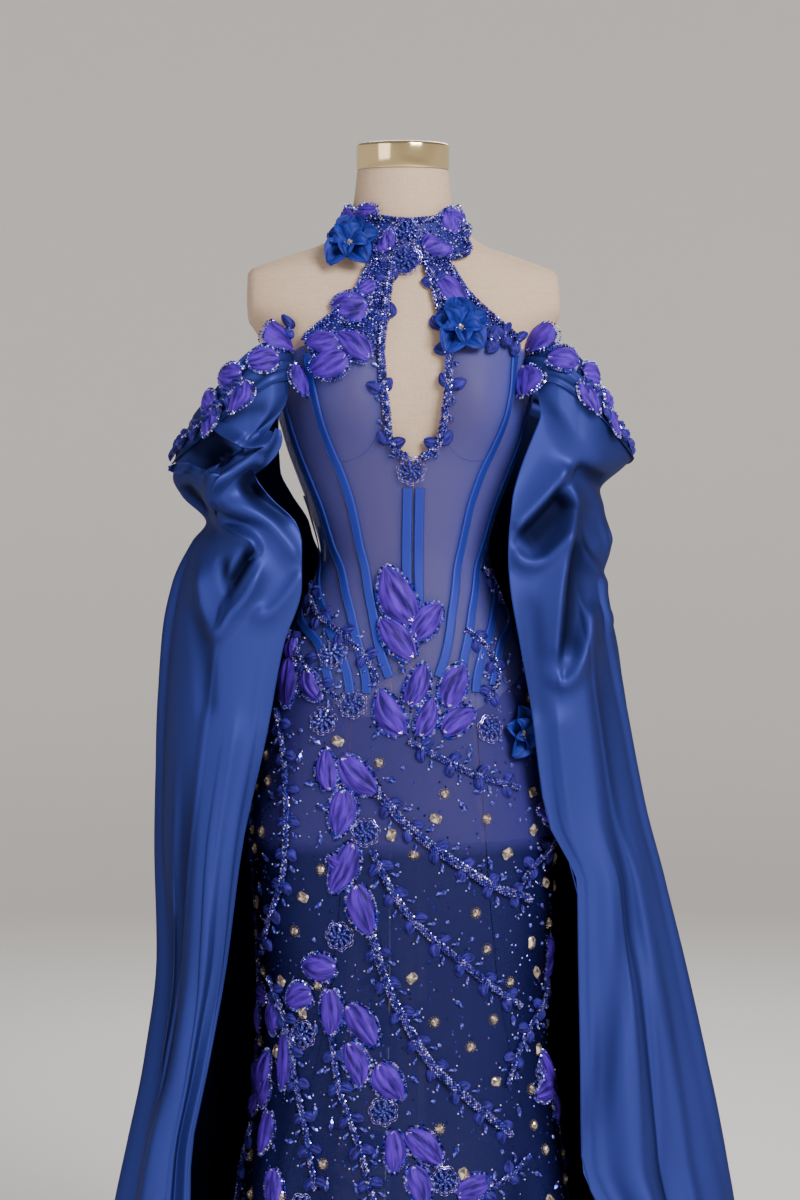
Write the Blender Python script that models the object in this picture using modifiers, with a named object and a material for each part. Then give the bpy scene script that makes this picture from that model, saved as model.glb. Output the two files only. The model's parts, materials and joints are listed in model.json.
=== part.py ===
# A mermaid evening dress with a beaded halter, off-shoulder bands and two floor-length cape
# sleeves, worn by a limbless dress form on a round stand.
# Metres, +Z up, the dress faces -Y, the floor is Z = 0. L is -X and R is +X, as seen from the front.
import math

import bmesh
import bpy
from mathutils import Vector

SEAM_GAP = 0.0003
MESH_CLOTH = 0.0012
SATIN_CLOTH = 0.0016
EASE = 0.0030
COLLAR_EASE = 0.0016
BODICE_OUT = EASE + MESH_CLOTH
CHANNEL_WIDTH = 0.013
CHANNEL_THICK = 0.0014
CHANNEL_LIFT = 0.0020
ZIP_LIFT = 0.0009
BACKING = 0.0014
BACKING_LIFT = 0.0012
BODICE_BACKING_LIFT = 0.0042
HEM_HEIGHT = 0.004
FORM_INSET = 0.0035

FORM_BOTTOM = 0.720
FORM_TOP = 1.562
ARM_PLATE_X = 0.197
CAP_RADIUS = 0.0595
CAP_HEIGHT = 0.032
POLE_RADIUS = 0.0175
BASE_RADIUS = 0.170
BASE_HEIGHT = 0.022

BUST_X = 0.085
BUST_HEIGHT = 1.262
BUST_LIFT = 0.030
BUST_SPREAD = 0.052

BAND_WIDTH = 0.058
BAND_LEAN = math.radians(24)
BAND_LIFT = 0.0022
BAND_PETALS = 0.006
BAND_PETAL_PARTS = (0.12, 0.25, 0.40)
KEYHOLE_BOTTOM = 1.197
HALTER_SEAM_HEIGHT = 1.342


class Table:
    # rows of numbers under named columns, read smoothly between the rows
    def __init__(self, columns, *rows):
        self.columns = columns.split()
        self.rows = sorted(rows)

    def at(self, key, column):
        place = self.columns.index(column)
        keys = [row[0] for row in self.rows]
        values = [row[place] for row in self.rows]
        if key <= keys[0]:
            return values[0]
        if key >= keys[-1]:
            return values[-1]
        slopes = [(values[i + 1] - values[i]) / (keys[i + 1] - keys[i]) for i in range(len(keys) - 1)]
        i = max(k for k in range(len(slopes)) if keys[k] <= key)
        start = self.tangent(slopes, i)
        end = self.tangent(slopes, i + 1)
        span = keys[i + 1] - keys[i]
        t = (key - keys[i]) / span
        return ((2 * t**3 - 3 * t**2 + 1) * values[i] + (t**3 - 2 * t**2 + t) * span * start
                + (3 * t**2 - 2 * t**3) * values[i + 1] + (t**3 - t**2) * span * end)

    @staticmethod
    def tangent(slopes, i):
        before = slopes[max(i - 1, 0)]
        after = slopes[min(i, len(slopes) - 1)]
        if before * after <= 0:
            return 0.0
        return 2 * before * after / (before + after)


# The form's outline, and below the form the skirt's: half width and depths at each height.
FIGURE = Table(
    "height half_width front back centre",
    (0.000, 0.262, 0.240, 0.300, 0.000),
    (0.100, 0.236, 0.205, 0.262, 0.000),
    (0.200, 0.214, 0.176, 0.224, 0.000),
    (0.298, 0.202, 0.155, 0.190, 0.000),
    (0.381, 0.187, 0.142, 0.170, 0.000),
    (0.532, 0.177, 0.130, 0.150, 0.000),
    (0.611, 0.184, 0.126, 0.146, 0.000),
    (0.712, 0.189, 0.118, 0.140, 0.000),
    (0.795, 0.179, 0.108, 0.136, 0.000),
    (0.886, 0.166, 0.100, 0.130, 0.000),
    (0.963, 0.146, 0.094, 0.113, 0.000),
    (1.011, 0.123, 0.088, 0.098, 0.000),
    (1.073, 0.102, 0.083, 0.082, 0.000),
    (1.125, 0.114, 0.088, 0.083, 0.000),
    (1.168, 0.130, 0.094, 0.090, 0.000),
    (1.215, 0.147, 0.100, 0.098, 0.000),
    (1.275, 0.162, 0.104, 0.104, 0.000),
    (1.320, 0.172, 0.100, 0.105, 0.000),
    (1.353, 0.187, 0.092, 0.102, 0.002),
    (1.395, 0.212, 0.082, 0.092, 0.006),
    (1.428, 0.204, 0.070, 0.078, 0.010),
    (1.450, 0.156, 0.063, 0.068, 0.012),
    (1.469, 0.101, 0.060, 0.064, 0.012),
    (1.490, 0.076, 0.059, 0.061, 0.012),
    (1.510, 0.065, 0.058, 0.059, 0.012),
    (1.562, 0.058, 0.056, 0.056, 0.012),
)

# Half width of the keyhole, and of the halter's outer edge, at each height.
KEYHOLE = Table(
    "height half_width",
    (KEYHOLE_BOTTOM, 0.0003),
    (1.204, 0.0165),
    (1.225, 0.0300),
    (1.255, 0.0355),
    (1.290, 0.0400),
    (1.320, 0.0400),
    (1.351, 0.0355),
    (1.390, 0.0280),
    (1.440, 0.0170),
)
HALTER_EDGE = Table(
    "height half_width",
    (1.342, 0.136),
    (1.351, 0.128),
    (1.370, 0.105),
    (1.403, 0.072),
    (1.440, 0.052),
)

# Beaded applique that stands up on a halter strap: place and half size across from the keyhole,
# place and half size up the strap, and height.
HALTER_LUMPS = (
    (0.10, 0.20, 0.50, 2.00, 0.004),
    (0.70, 0.35, 0.25, 0.30, 0.005),
    (0.50, 0.50, 0.75, 0.25, 0.004),
)

# The bodice seams as angles round the body, in degrees from the centre front.
SEAMS = Table(
    "height princess second third back",
    (0.850, 9, 20, 26, 150),
    (0.912, 10, 21, 29, 150),
    (0.950, 15, 25, 35, 150),
    (1.000, 22, 37, 54, 150),
    (1.050, 31, 57, 84, 150),
    (1.090, 37, 63, 95, 150),
    (1.140, 38, 65, 101, 151),
    (1.177, 40, 67, 105, 152),
    (1.215, 44, 69, 108, 152),
    (1.250, 47, 71, 110, 152),
    (1.285, 48, 72, 112, 152),
    (1.340, 47, 72, 114, 152),
)
FOURTH_CHANNEL = Table(
    "height angle",
    (0.900, 36),
    (0.963, 50),
    (1.006, 90),
    (1.060, 106),
    (1.120, 116),
)

# Where the bodice ends below, and the skirt begins, by the angle round the body.
BASQUE = Table(
    "angle height",
    (0, 0.862),
    (30, 0.885),
    (60, 0.920),
    (90, 0.940),
    (135, 0.930),
    (180, 0.915),
)
BODICE_ROWS = (0, 0.08, 0.16, 0.25, 0.34, 0.43, 0.52, 0.61, 0.701, 0.716, 0.76, 0.82, 0.88, 0.94, 1)
# Each panel of the bodice: its seams, the top height at both, and its columns.
BODICE_PANELS = (
    ("centre_front", "front", "princess", HALTER_SEAM_HEIGHT, 1.336, 2),
    ("side_front", "princess", "second", 1.336, 1.318, 2),
    ("side", "second", "third", 1.318, 1.298, 2),
    ("hip", "third", "back", 1.298, 1.270, 9),
    ("centre_back", "back", "centre", 1.270, 1.262, 3),
)

# Troughs of the skirt's flare: angle, half width of the trough, depth at the hem, start height.
SKIRT_FOLDS = (
    (8, 14, 0.016, 0.36),
    (-40, 15, 0.026, 0.52),
    (44, 16, 0.024, 0.50),
    (-84, 17, 0.020, 0.42),
    (88, 15, 0.022, 0.40),
    (-128, 17, 0.024, 0.46),
    (131, 16, 0.020, 0.44),
    (177, 15, 0.024, 0.42),
)
SKIRT_ROWS = (0, 0.06, 0.13, 0.20, 0.28, 0.36, 0.44, 0.52, 0.59, 0.66, 0.73, 0.80, 0.87, 0.94, 1)

COLLAR_EDGES = Table(
    "angle low high",
    (0, 1.438, 1.496),
    (45, 1.448, 1.502),
    (90, 1.466, 1.514),
    (135, 1.464, 1.512),
    (180, 1.460, 1.508),
)

# The arm band's middle line from the front of the bodice round the arm to its back.
BAND_LINE = Table(
    "part x y z",
    (0.00, 0.140, -0.098, 1.326),
    (0.12, 0.178, -0.108, 1.314),
    (0.25, 0.215, -0.100, 1.287),
    (0.38, 0.250, -0.072, 1.251),
    (0.50, 0.278, -0.022, 1.220),
    (0.62, 0.280, 0.030, 1.214),
    (0.74, 0.257, 0.074, 1.230),
    (0.87, 0.215, 0.100, 1.262),
    (1.00, 0.150, 0.098, 1.294),
)

# Each cape hangs in the plan of these points: front edge, outermost, and back edge.
CAPE_PLAN = {
    "L": Table(
        "height front_x front_y outer_x outer_y back_x back_y",
        (0.004, 0.325, -0.150, 0.385, 0.030, 0.075, 0.345),
        (0.254, 0.279, -0.120, 0.350, 0.020, 0.062, 0.245),
        (0.337, 0.277, -0.112, 0.333, 0.015, 0.058, 0.222),
        (0.441, 0.257, -0.106, 0.312, 0.010, 0.055, 0.205),
        (0.565, 0.234, -0.100, 0.298, 0.008, 0.052, 0.192),
        (0.721, 0.213, -0.098, 0.303, 0.006, 0.050, 0.182),
        (0.851, 0.184, -0.100, 0.302, 0.004, 0.052, 0.172),
        (0.966, 0.163, -0.108, 0.297, 0.002, 0.060, 0.155),
        (1.040, 0.141, -0.112, 0.287, 0.000, 0.080, 0.132),
        (1.092, 0.141, -0.112, 0.266, 0.000, 0.105, 0.120),
        (1.115, 0.147, -0.110, 0.250, 0.000, 0.116, 0.114),
        (1.149, 0.180, -0.108, 0.281, 0.000, 0.138, 0.110),
        (1.181, 0.200, -0.106, 0.296, 0.000, 0.148, 0.107),
        (1.260, 0.165, -0.104, 0.284, 0.000, 0.152, 0.104),
    ),
    "R": Table(
        "height front_x front_y outer_x outer_y back_x back_y",
        (0.004, 0.300, -0.150, 0.430, 0.030, 0.075, 0.345),
        (0.254, 0.236, -0.120, 0.396, 0.020, 0.062, 0.245),
        (0.318, 0.209, -0.112, 0.388, 0.015, 0.058, 0.225),
        (0.465, 0.208, -0.106, 0.363, 0.010, 0.055, 0.202),
        (0.563, 0.207, -0.100, 0.344, 0.008, 0.052, 0.192),
        (0.660, 0.206, -0.098, 0.322, 0.006, 0.050, 0.184),
        (0.750, 0.167, -0.096, 0.303, 0.005, 0.050, 0.180),
        (0.889, 0.147, -0.102, 0.277, 0.002, 0.055, 0.168),
        (0.965, 0.132, -0.110, 0.264, 0.000, 0.062, 0.154),
        (1.041, 0.119, -0.112, 0.252, 0.000, 0.082, 0.132),
        (1.081, 0.117, -0.112, 0.263, 0.000, 0.100, 0.122),
        (1.143, 0.122, -0.110, 0.249, 0.000, 0.136, 0.111),
        (1.171, 0.129, -0.108, 0.255, 0.000, 0.146, 0.108),
        (1.250, 0.160, -0.104, 0.284, 0.000, 0.152, 0.104),
    ),
}
# Vertical folds of a cape: place along the plan, half width, depth, the height where it dies out.
CAPE_FOLDS = {
    "L": (
        (0.10, 0.07, 0.012, 0.95),
        (0.27, 0.09, -0.020, 0.90),
        (0.42, 0.07, 0.022, 0.80),
        (0.55, 0.08, -0.024, 0.90),
        (0.70, 0.07, 0.024, 0.80),
        (0.84, 0.07, -0.020, 0.70),
    ),
    "R": (
        (0.13, 0.07, -0.014, 0.75),
        (0.25, 0.08, 0.022, 0.92),
        (0.40, 0.08, -0.022, 0.85),
        (0.54, 0.08, 0.020, 0.90),
        (0.68, 0.07, -0.024, 0.80),
        (0.83, 0.07, 0.022, 0.70),
    ),
}
# Where the hanging cloth leaves the line of its band, by the place along the plan.
CAPE_SPREAD = Table(
    "part height",
    (0.00, 1.285),
    (0.30, 1.205),
    (0.70, 1.200),
    (1.00, 1.240),
)
# Soft dents where the cloth twists under its band: place along the plan and height of the
# middle, half sizes, depth inwards (a minus sign makes a bulge), and how much the dent slopes.
CAPE_DENTS = {
    "L": (
        (0.30, 1.168, 0.16, 0.045, 0.030, -0.10),
        (0.20, 1.112, 0.30, 0.026, 0.020, 0.10),
        (0.16, 1.052, 0.22, 0.040, -0.014, 0.05),
        (0.34, 0.960, 0.12, 0.090, 0.016, 0.00),
        (0.72, 1.080, 0.24, 0.050, 0.018, 0.08),
    ),
    "R": (
        (0.30, 1.180, 0.12, 0.045, 0.026, -0.08),
        (0.16, 1.085, 0.26, 0.040, 0.024, 0.12),
        (0.14, 1.010, 0.20, 0.045, -0.014, 0.05),
        (0.38, 0.985, 0.10, 0.120, 0.018, 0.00),
        (0.72, 1.070, 0.24, 0.050, 0.018, 0.08),
    ),
}
CAPE_COLUMNS = 20
CAPE_ROWS = 20
CAPE_TOP_SHARE = (0.10, 0.93)
CAPE_DROP = 0.0009

# Petal sprays sewn on the mesh: middle (x and height on the front, or angle and height further
# round), then each petal's direction in degrees, length and width.
SPRAYS = {
    "spray_waist": ((0.006, 0.952), ((118, 0.075, 0.046), (150, 0.060, 0.028), (50, 0.046, 0.030))),
    "spray_basque": (
        (0.018, 0.858),
        ((150, 0.060, 0.036), (100, 0.066, 0.028), (60, 0.058, 0.034), (20, 0.052, 0.030)),
    ),
    "spray_bust": ((-0.098, 1.326), ((-75, 0.045, 0.034), (-10, 0.046, 0.036), (-130, 0.042, 0.030))),
    "spray_hip": ((-0.140, 0.885), ((-95, 0.060, 0.030), (-50, 0.044, 0.020), (70, 0.034, 0.024))),
    "spray_thigh": ((-0.078, 0.765), ((110, 0.056, 0.036), (165, 0.054, 0.026), (-115, 0.060, 0.034))),
    "spray_knee": ((-0.066, 0.628), ((105, 0.062, 0.034), (-95, 0.050, 0.028), (160, 0.046, 0.026))),
    "spray_calf": ((-0.098, 0.505), ((120, 0.056, 0.034), (-60, 0.056, 0.032), (-140, 0.050, 0.032))),
    "spray_shin": ((-0.075, 0.385), ((150, 0.056, 0.032), (-80, 0.056, 0.034), (20, 0.046, 0.028))),
}
SPRAY_DIRECTIONS = 22
PETAL_HEIGHT = 0.007

# Bead vines: the line of the stem as x and height on the front.
VINES = {
    "vine_upper": ((-0.033, 0.775), (0.010, 0.745), (0.060, 0.705), (0.105, 0.670), (0.155, 0.630)),
    "vine_middle": ((-0.040, 0.700), (-0.015, 0.645), (0.030, 0.590), (0.085, 0.530), (0.140, 0.490)),
    "vine_lower": ((-0.045, 0.600), (-0.012, 0.515), (0.035, 0.430), (0.080, 0.375), (0.130, 0.335)),
    "vine_side": ((-0.158, 0.820), (-0.156, 0.745), (-0.160, 0.665), (-0.168, 0.590)),
}
VINE_WIDTH = 0.010
LEAF_SPACING = 0.045
LEAF_REACH = 0.019
LEAF_HEIGHT = 0.002
STEM_HEIGHT = 0.004

# Chiffon flowers: middle and radius, on the surface facing out at that place.
FLOWERS = {
    "flower_collar": (-0.066, 1.462, 0.036),
    "flower_strap": (0.082, 1.372, 0.036),
    "flower_hip": (0.142, 0.842, 0.034),
}
FLOWER_PETALS = 5
FLOWER_LIFT = {"flower_collar": 0.0042, "flower_strap": 0.0042, "flower_hip": 0.0009}


def clear_scene():
    for thing in list(bpy.data.objects):
        bpy.data.objects.remove(thing, do_unlink=True)


def new_collection(name):
    collection = bpy.data.collections.new(name)
    bpy.context.scene.collection.children.link(collection)
    return collection


def finish_material(name, colour, roughness, metallic=0.0):
    material = bpy.data.materials.new(name)
    material.use_nodes = True
    shader = material.node_tree.nodes["Principled BSDF"]
    shader.inputs["Base Color"].default_value = (*colour, 1.0)
    shader.inputs["Roughness"].default_value = roughness
    shader.inputs["Metallic"].default_value = metallic
    return material


def smooth(value, low, high):
    t = min(max((value - low) / (high - low), 0.0), 1.0)
    return t * t * (3 - 2 * t)


def bump(distance, half_width):
    if abs(distance) >= half_width:
        return 0.0
    return 0.5 + 0.5 * math.cos(math.pi * distance / half_width)


def mix(a, b, t):
    return a + (b - a) * t


def turn(degrees):
    return (degrees + 180.0) % 360.0 - 180.0


def bare_point(angle, height):
    # a point of the figure at an angle in degrees: 0 is the front, 90 is +X
    radians = math.radians(angle)
    side = math.sin(radians)
    ahead = math.cos(radians)
    depth = FIGURE.at(height, "front" if ahead > 0 else "back")
    x = FIGURE.at(height, "half_width") * side
    y = FIGURE.at(height, "centre") - depth * ahead
    if ahead > 0 and 1.05 < height < 1.42:
        rise = 0.078 if height > BUST_HEIGHT else 0.046
        lift = math.exp(-((height - BUST_HEIGHT) / rise) ** 2)
        across = math.exp(-((abs(x) - BUST_X) / BUST_SPREAD) ** 2)
        y -= BUST_LIFT * lift * across * smooth(ahead, 0.0, 0.5)
    fold = 1.0
    if height < 0.55:
        for middle, half_width, depth_at_hem, start in SKIRT_FOLDS:
            near = bump(turn(angle - middle), half_width)
            fold -= depth_at_hem / 0.26 * near * (1 - smooth(height, 0.0, start))
    x = min(max(x, -ARM_PLATE_X), ARM_PLATE_X) if height > 1.3 else x
    return Vector((x * fold, y * fold, height))


def figure_point(angle, height, out=0.0):
    here = bare_point(angle, height)
    if not out:
        return here
    across = bare_point(angle + 1.5, height) - bare_point(angle - 1.5, height)
    up = bare_point(angle, height + 0.004) - bare_point(angle, height - 0.004)
    return here + across.cross(up).normalized() * out


def front_angle(x, height):
    share = x / FIGURE.at(height, "half_width")
    return math.degrees(math.asin(min(max(share, -0.999), 0.999)))


def place(name, bm, finish, collection, sharp=50):
    mesh = bpy.data.meshes.new(name)
    bm.to_mesh(mesh)
    bm.free()
    mesh.shade_smooth()
    mesh.set_sharp_from_angle(angle=math.radians(sharp))
    mesh.materials.append(finish)
    thing = bpy.data.objects.new(name, mesh)
    collection.objects.link(thing)
    return thing


def add_grid(bm, grid):
    rows = [[bm.verts.new(point) for point in row] for row in grid]
    for low, high in zip(rows, rows[1:]):
        for a, b, c, d in zip(low, low[1:], high[1:], high):
            bm.faces.new((a, b, c, d))
    edge = rows[0] + [row[-1] for row in rows[1:]]
    edge += rows[-1][-2::-1] + [row[0] for row in rows[-2:0:-1]]
    return edge


def join_rims(bm, first, second):
    for i in range(len(first)):
        j = (i + 1) % len(first)
        bm.faces.new((first[i], first[j], second[j], second[i]))


def wall(name, outer, inner, finish, collection):
    # a closed piece of cloth between an outer and an inner grid of points
    bm = bmesh.new()
    join_rims(bm, add_grid(bm, outer), add_grid(bm, inner))
    bmesh.ops.recalc_face_normals(bm, faces=bm.faces)
    return place(name, bm, finish, collection)


def sheet(name, grid, thickness, finish, collection):
    # an open sheet given its thickness on the side that its faces point to
    bm = bmesh.new()
    add_grid(bm, grid)
    thing = place(name, bm, finish, collection)
    solidify = thing.modifiers.new("Thickness", "SOLIDIFY")
    solidify.thickness = thickness
    solidify.offset = 1.0
    return thing


def turned(name, profile, finish, collection, centre=(0.0, 0.0, 0.0), steps=32):
    # the profile is radius and height, from the top of the axis down the outside
    mesh = bpy.data.meshes.new(name)
    mesh.from_pydata([(r, 0.0, z) for r, z in profile], [(i, i + 1) for i in range(len(profile) - 1)], [])
    mesh.materials.append(finish)
    thing = bpy.data.objects.new(name, mesh)
    thing.location = centre
    collection.objects.link(thing)
    screw = thing.modifiers.new("Turn", "SCREW")
    screw.steps = steps
    screw.render_steps = steps
    screw.use_merge_vertices = True
    screw.merge_threshold = 0.0001
    return thing


def build_form(finishes, parts):
    columns = 30
    heights = [mix(FORM_BOTTOM, 1.34, i / 17) for i in range(18)]
    heights += [1.367, 1.395, 1.415, 1.430, 1.442, 1.455, 1.469, 1.482, 1.496, 1.515, FORM_TOP]
    bm = bmesh.new()
    rings = []
    for height in heights:
        # where the dress covers it the form is a little slimmer, clear of the cloth
        inset = FORM_INSET * (1 - smooth(height, 1.28, 1.34)) + 0.00001
        ring = [bm.verts.new(figure_point(360 * i / columns, height, -inset)) for i in range(columns)]
        rings.append(ring)
    for low, high in zip(rings, rings[1:]):
        join_rims(bm, low, high)
    bm.faces.new(rings[0][::-1])
    bm.faces.new(rings[-1])
    bmesh.ops.recalc_face_normals(bm, faces=bm.faces)
    place("form_torso", bm, finishes["linen"], parts)

    cap_base = FORM_TOP + SEAM_GAP
    cap_top = cap_base + CAP_HEIGHT
    edge = 0.003
    cap = (
        (0.0, cap_top + 0.004),
        (0.030, cap_top + 0.0035),
        (CAP_RADIUS - edge, cap_top + 0.001),
        (CAP_RADIUS, cap_top - edge),
        (CAP_RADIUS, cap_base),
        (0.0, cap_base),
    )
    neck_y = FIGURE.at(FORM_TOP, "centre")
    turned("neck_cap", cap, finishes["gold"], parts, centre=(0.0, neck_y, 0.0))

    pole_bottom = BASE_HEIGHT + SEAM_GAP
    pole_top = FORM_BOTTOM - SEAM_GAP
    pole = ((0.0, pole_top), (POLE_RADIUS, pole_top), (POLE_RADIUS, pole_bottom), (0.0, pole_bottom))
    turned("stand_pole", pole, finishes["steel"], parts, steps=24)
    base = (
        (0.0, BASE_HEIGHT),
        (POLE_RADIUS + 0.01, BASE_HEIGHT),
        (BASE_RADIUS - 0.018, BASE_HEIGHT - 0.008),
        (BASE_RADIUS - 0.003, 0.008),
        (BASE_RADIUS, 0.004),
        (BASE_RADIUS, 0.0),
        (0.0, 0.0),
    )
    turned("stand_base", base, finishes["steel"], parts, steps=36)


def seam_gap(height):
    # half of a seam's gap as an angle, with room for seams that run aslant
    return math.degrees(SEAM_GAP / FIGURE.at(height, "front"))


def seam_angle(seam, height):
    if seam == "front":
        gap = seam_gap(height)
        if height <= KEYHOLE_BOTTOM:
            return gap
        return max(front_angle(KEYHOLE.at(height, "half_width"), height), gap)
    if seam == "centre":
        return 180.0
    return SEAMS.at(height, seam)


def column_angle(panel, share, height):
    gap = seam_gap(height)
    first = seam_angle(panel[1], height) + (0 if panel[1] == "front" else gap)
    last = seam_angle(panel[2], height) - gap
    return mix(first, last, share)


def column_bottom(panel, share):
    height = 0.9
    for _ in range(40):
        height = mix(height, BASQUE.at(column_angle(panel, share, height), "height"), 0.6)
    return height


def bodice_column(panel, share, out, sign):
    low = column_bottom(panel, share) + SEAM_GAP / 2
    high = mix(panel[3], panel[4], share)
    points = []
    for part in BODICE_ROWS:
        height = mix(low, high, part)
        points.append(figure_point(sign * column_angle(panel, share, height), height, out))
    return points


def build_bodice(finishes, parts):
    for side, sign in (("L", -1), ("R", 1)):
        for panel in BODICE_PANELS:
            shares = [i / panel[5] for i in range(panel[5] + 1)]
            outer = [bodice_column(panel, share, BODICE_OUT, sign) for share in shares]
            inner = [bodice_column(panel, share, EASE, sign) for share in shares]
            wall(f"{panel[0]}_{side}", outer, inner, finishes["mesh"], parts)


def channel(name, angle_at, low, high, sign, finishes, parts, rows=14):
    # a flat satin strip along a seam, laid over the mesh
    base = BODICE_OUT + CHANNEL_LIFT
    outer = []
    inner = []
    for i in range(rows + 1):
        height = mix(low, high, i / rows)
        middle = angle_at(height)
        ahead = figure_point(sign * angle_at(height + 0.004), height + 0.004)
        behind = figure_point(sign * angle_at(height - 0.004), height - 0.004)
        run = (ahead - behind).normalized()
        here = figure_point(sign * middle, height, base)
        normal = (here - figure_point(sign * middle, height)).normalized()
        across = run.cross(normal).normalized() * CHANNEL_WIDTH / 2
        lift = normal * CHANNEL_THICK
        inner.append([here - across, here + across])
        outer.append([here - across + lift, here + across + lift])
    wall(name, outer, inner, finishes["channel"], parts)


def build_channels(finishes, parts):
    for side, sign in (("L", -1), ("R", 1)):
        def centre(height):
            return math.degrees((CHANNEL_WIDTH / 2 + 0.0012) / FIGURE.at(height, "half_width"))

        channel(f"channel_centre_{side}", centre, 0.972, 1.160, sign, finishes, parts, rows=6)
        channel(
            f"channel_princess_{side}", lambda z: SEAMS.at(z, "princess"), 0.925, 1.325,
            sign, finishes, parts)
        channel(
            f"channel_second_{side}", lambda z: SEAMS.at(z, "second"), 0.905, 1.310,
            sign, finishes, parts)
        channel(
            f"channel_third_{side}", lambda z: SEAMS.at(z, "third"), 0.905, 1.150,
            sign, finishes, parts, rows=12)
        channel(
            f"channel_fourth_{side}", lambda z: FOURTH_CHANNEL.at(z, "angle"), 0.912, 1.110,
            sign, finishes, parts, rows=12)


def skirt_columns():
    # the half round of columns, as the angle at the basque line, its height, and an even angle
    found = []
    for panel in BODICE_PANELS:
        for i in range(panel[5] + (panel[0] == "centre_back")):
            share = i / panel[5]
            low = column_bottom(panel, share)
            found.append((column_angle(panel, share, low), low))
    found[0] = (0.0, found[0][1])
    last = len(found) - 1
    return [(angle, low, 180.0 * i / last) for i, (angle, low) in enumerate(found)]


def skirt_point(column, part, out, nudge):
    angle, basque, even = column
    height = mix(basque - SEAM_GAP / 2, HEM_HEIGHT, part)
    here = mix(angle, even, smooth(part, 0.15, 0.9))
    return figure_point(here + nudge * seam_gap(height), height, out)


def build_skirt(finishes, parts):
    half = skirt_columns()
    other = [(-angle, low, -even) for angle, low, even in half]
    gores = {
        "skirt_front": other[6:0:-1] + half[:7],
        "skirt_side_R": half[6:14],
        "skirt_back_R": half[13:],
        "skirt_side_L": other[6:14],
        "skirt_back_L": other[13:],
    }
    for name, columns in gores.items():
        grids = []
        for out in (BODICE_OUT, EASE):
            grid = []
            for i, column in enumerate(columns):
                sign = -1 if column[0] < 0 else 1
                nudge = 0
                if i == 0:
                    nudge = 1 if name == "skirt_front" else sign
                if i == len(columns) - 1:
                    nudge = -1 if name == "skirt_front" else -sign
                grid.append([skirt_point(column, part, out, nudge) for part in SKIRT_ROWS])
            grids.append(grid)
        wall(name, grids[0], grids[1], finishes["skirt"], parts)


def build_zip(finishes, parts):
    half_width = 0.008
    outer = []
    inner = []
    base = BODICE_OUT + ZIP_LIFT
    for i in range(13):
        height = mix(0.800, 1.255, i / 12)
        spread = math.degrees(half_width / FIGURE.at(height, "half_width"))
        angles = (180 - spread, 180, 180 + spread)
        inner.append([figure_point(angle, height, base) for angle in angles])
        lifts = (0.0012, 0.0030, 0.0012)
        outer.append([figure_point(a, height, base + lift) for a, lift in zip(angles, lifts)])
    wall("back_zip", outer, inner, finishes["channel"], parts)


def halter_point(share, part, out, sign):
    high = COLLAR_EDGES.at(0, "low") - SEAM_GAP * 2
    height = mix(HALTER_SEAM_HEIGHT + SEAM_GAP, high, part)
    inside = KEYHOLE.at(height, "half_width")
    outside = HALTER_EDGE.at(height, "half_width")
    return figure_point(sign * front_angle(mix(inside, outside, share), height), height, out)


def build_halter(finishes, parts):
    rows = 9
    columns = 5
    for side, sign in (("L", -1), ("R", 1)):
        inner = []
        outer = []
        for i in range(columns + 1):
            share = i / columns
            inner.append([halter_point(share, k / rows, EASE, sign) for k in range(rows + 1)])
            line = []
            for k in range(rows + 1):
                part = k / rows
                raise_up = sum(
                    height * bump(share - across, half_across) * bump(part - along, half_along)
                    for across, half_across, along, half_along, height in HALTER_LUMPS)
                line.append(halter_point(share, part, BODICE_OUT + raise_up, sign))
            outer.append(line)
        wall(f"halter_{side}", outer, inner, finishes["applique"], parts)


def build_collar(finishes, parts):
    columns = 34
    rows = 3
    inner = []
    outer = []
    for i in range(columns + 1):
        angle = mix(-178.5, 178.5, i / columns)
        low = COLLAR_EDGES.at(abs(angle), "low")
        high = COLLAR_EDGES.at(abs(angle), "high")
        heights = [mix(low, high, k / rows) for k in range(rows + 1)]
        inner.append([figure_point(angle, height, COLLAR_EASE) for height in heights])
        beads = 0.0025 + 0.0015 * math.cos(math.radians(angle * 9))
        lifts = (0.0015, 0.0030 + beads, 0.0030 + beads, 0.0015)
        outer.append([figure_point(angle, z, COLLAR_EASE + lift) for z, lift in zip(heights, lifts)])
    wall("collar", outer, inner, finishes["applique"], parts)


def band_frame(part, sign):
    here = Vector([BAND_LINE.at(part, axis) for axis in ("x", "y", "z")])
    after = Vector([BAND_LINE.at(part + 0.01, axis) for axis in ("x", "y", "z")])
    before = Vector([BAND_LINE.at(part - 0.01, axis) for axis in ("x", "y", "z")])
    ahead = (after - before).normalized()
    away = Vector((here.x - 0.17, here.y, 0.0)).normalized()
    up = Vector((0, 0, math.cos(BAND_LEAN))) - away * math.sin(BAND_LEAN)
    up = (up - ahead * up.dot(ahead)).normalized()
    return (Vector((here.x * sign, here.y, here.z)), Vector((up.x * sign, up.y, up.z)))


def band_point(part, across, sign):
    # across runs from -1 at the lower edge to 1 at the upper edge
    here, up = band_frame(part, sign)
    free = here + up * across * BAND_WIDTH / 2
    lift = BODICE_OUT + BAND_LIFT
    front_end = figure_point(sign * (57 + 2 * across), 1.316 + across * 0.026, lift)
    back_end = figure_point(sign * (126 - 3 * across), 1.292 + across * 0.026, lift)
    held = mix(front_end, free, smooth(part, 0.0, 0.16))
    return mix(held, back_end, smooth(part, 0.86, 1.0))


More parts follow.
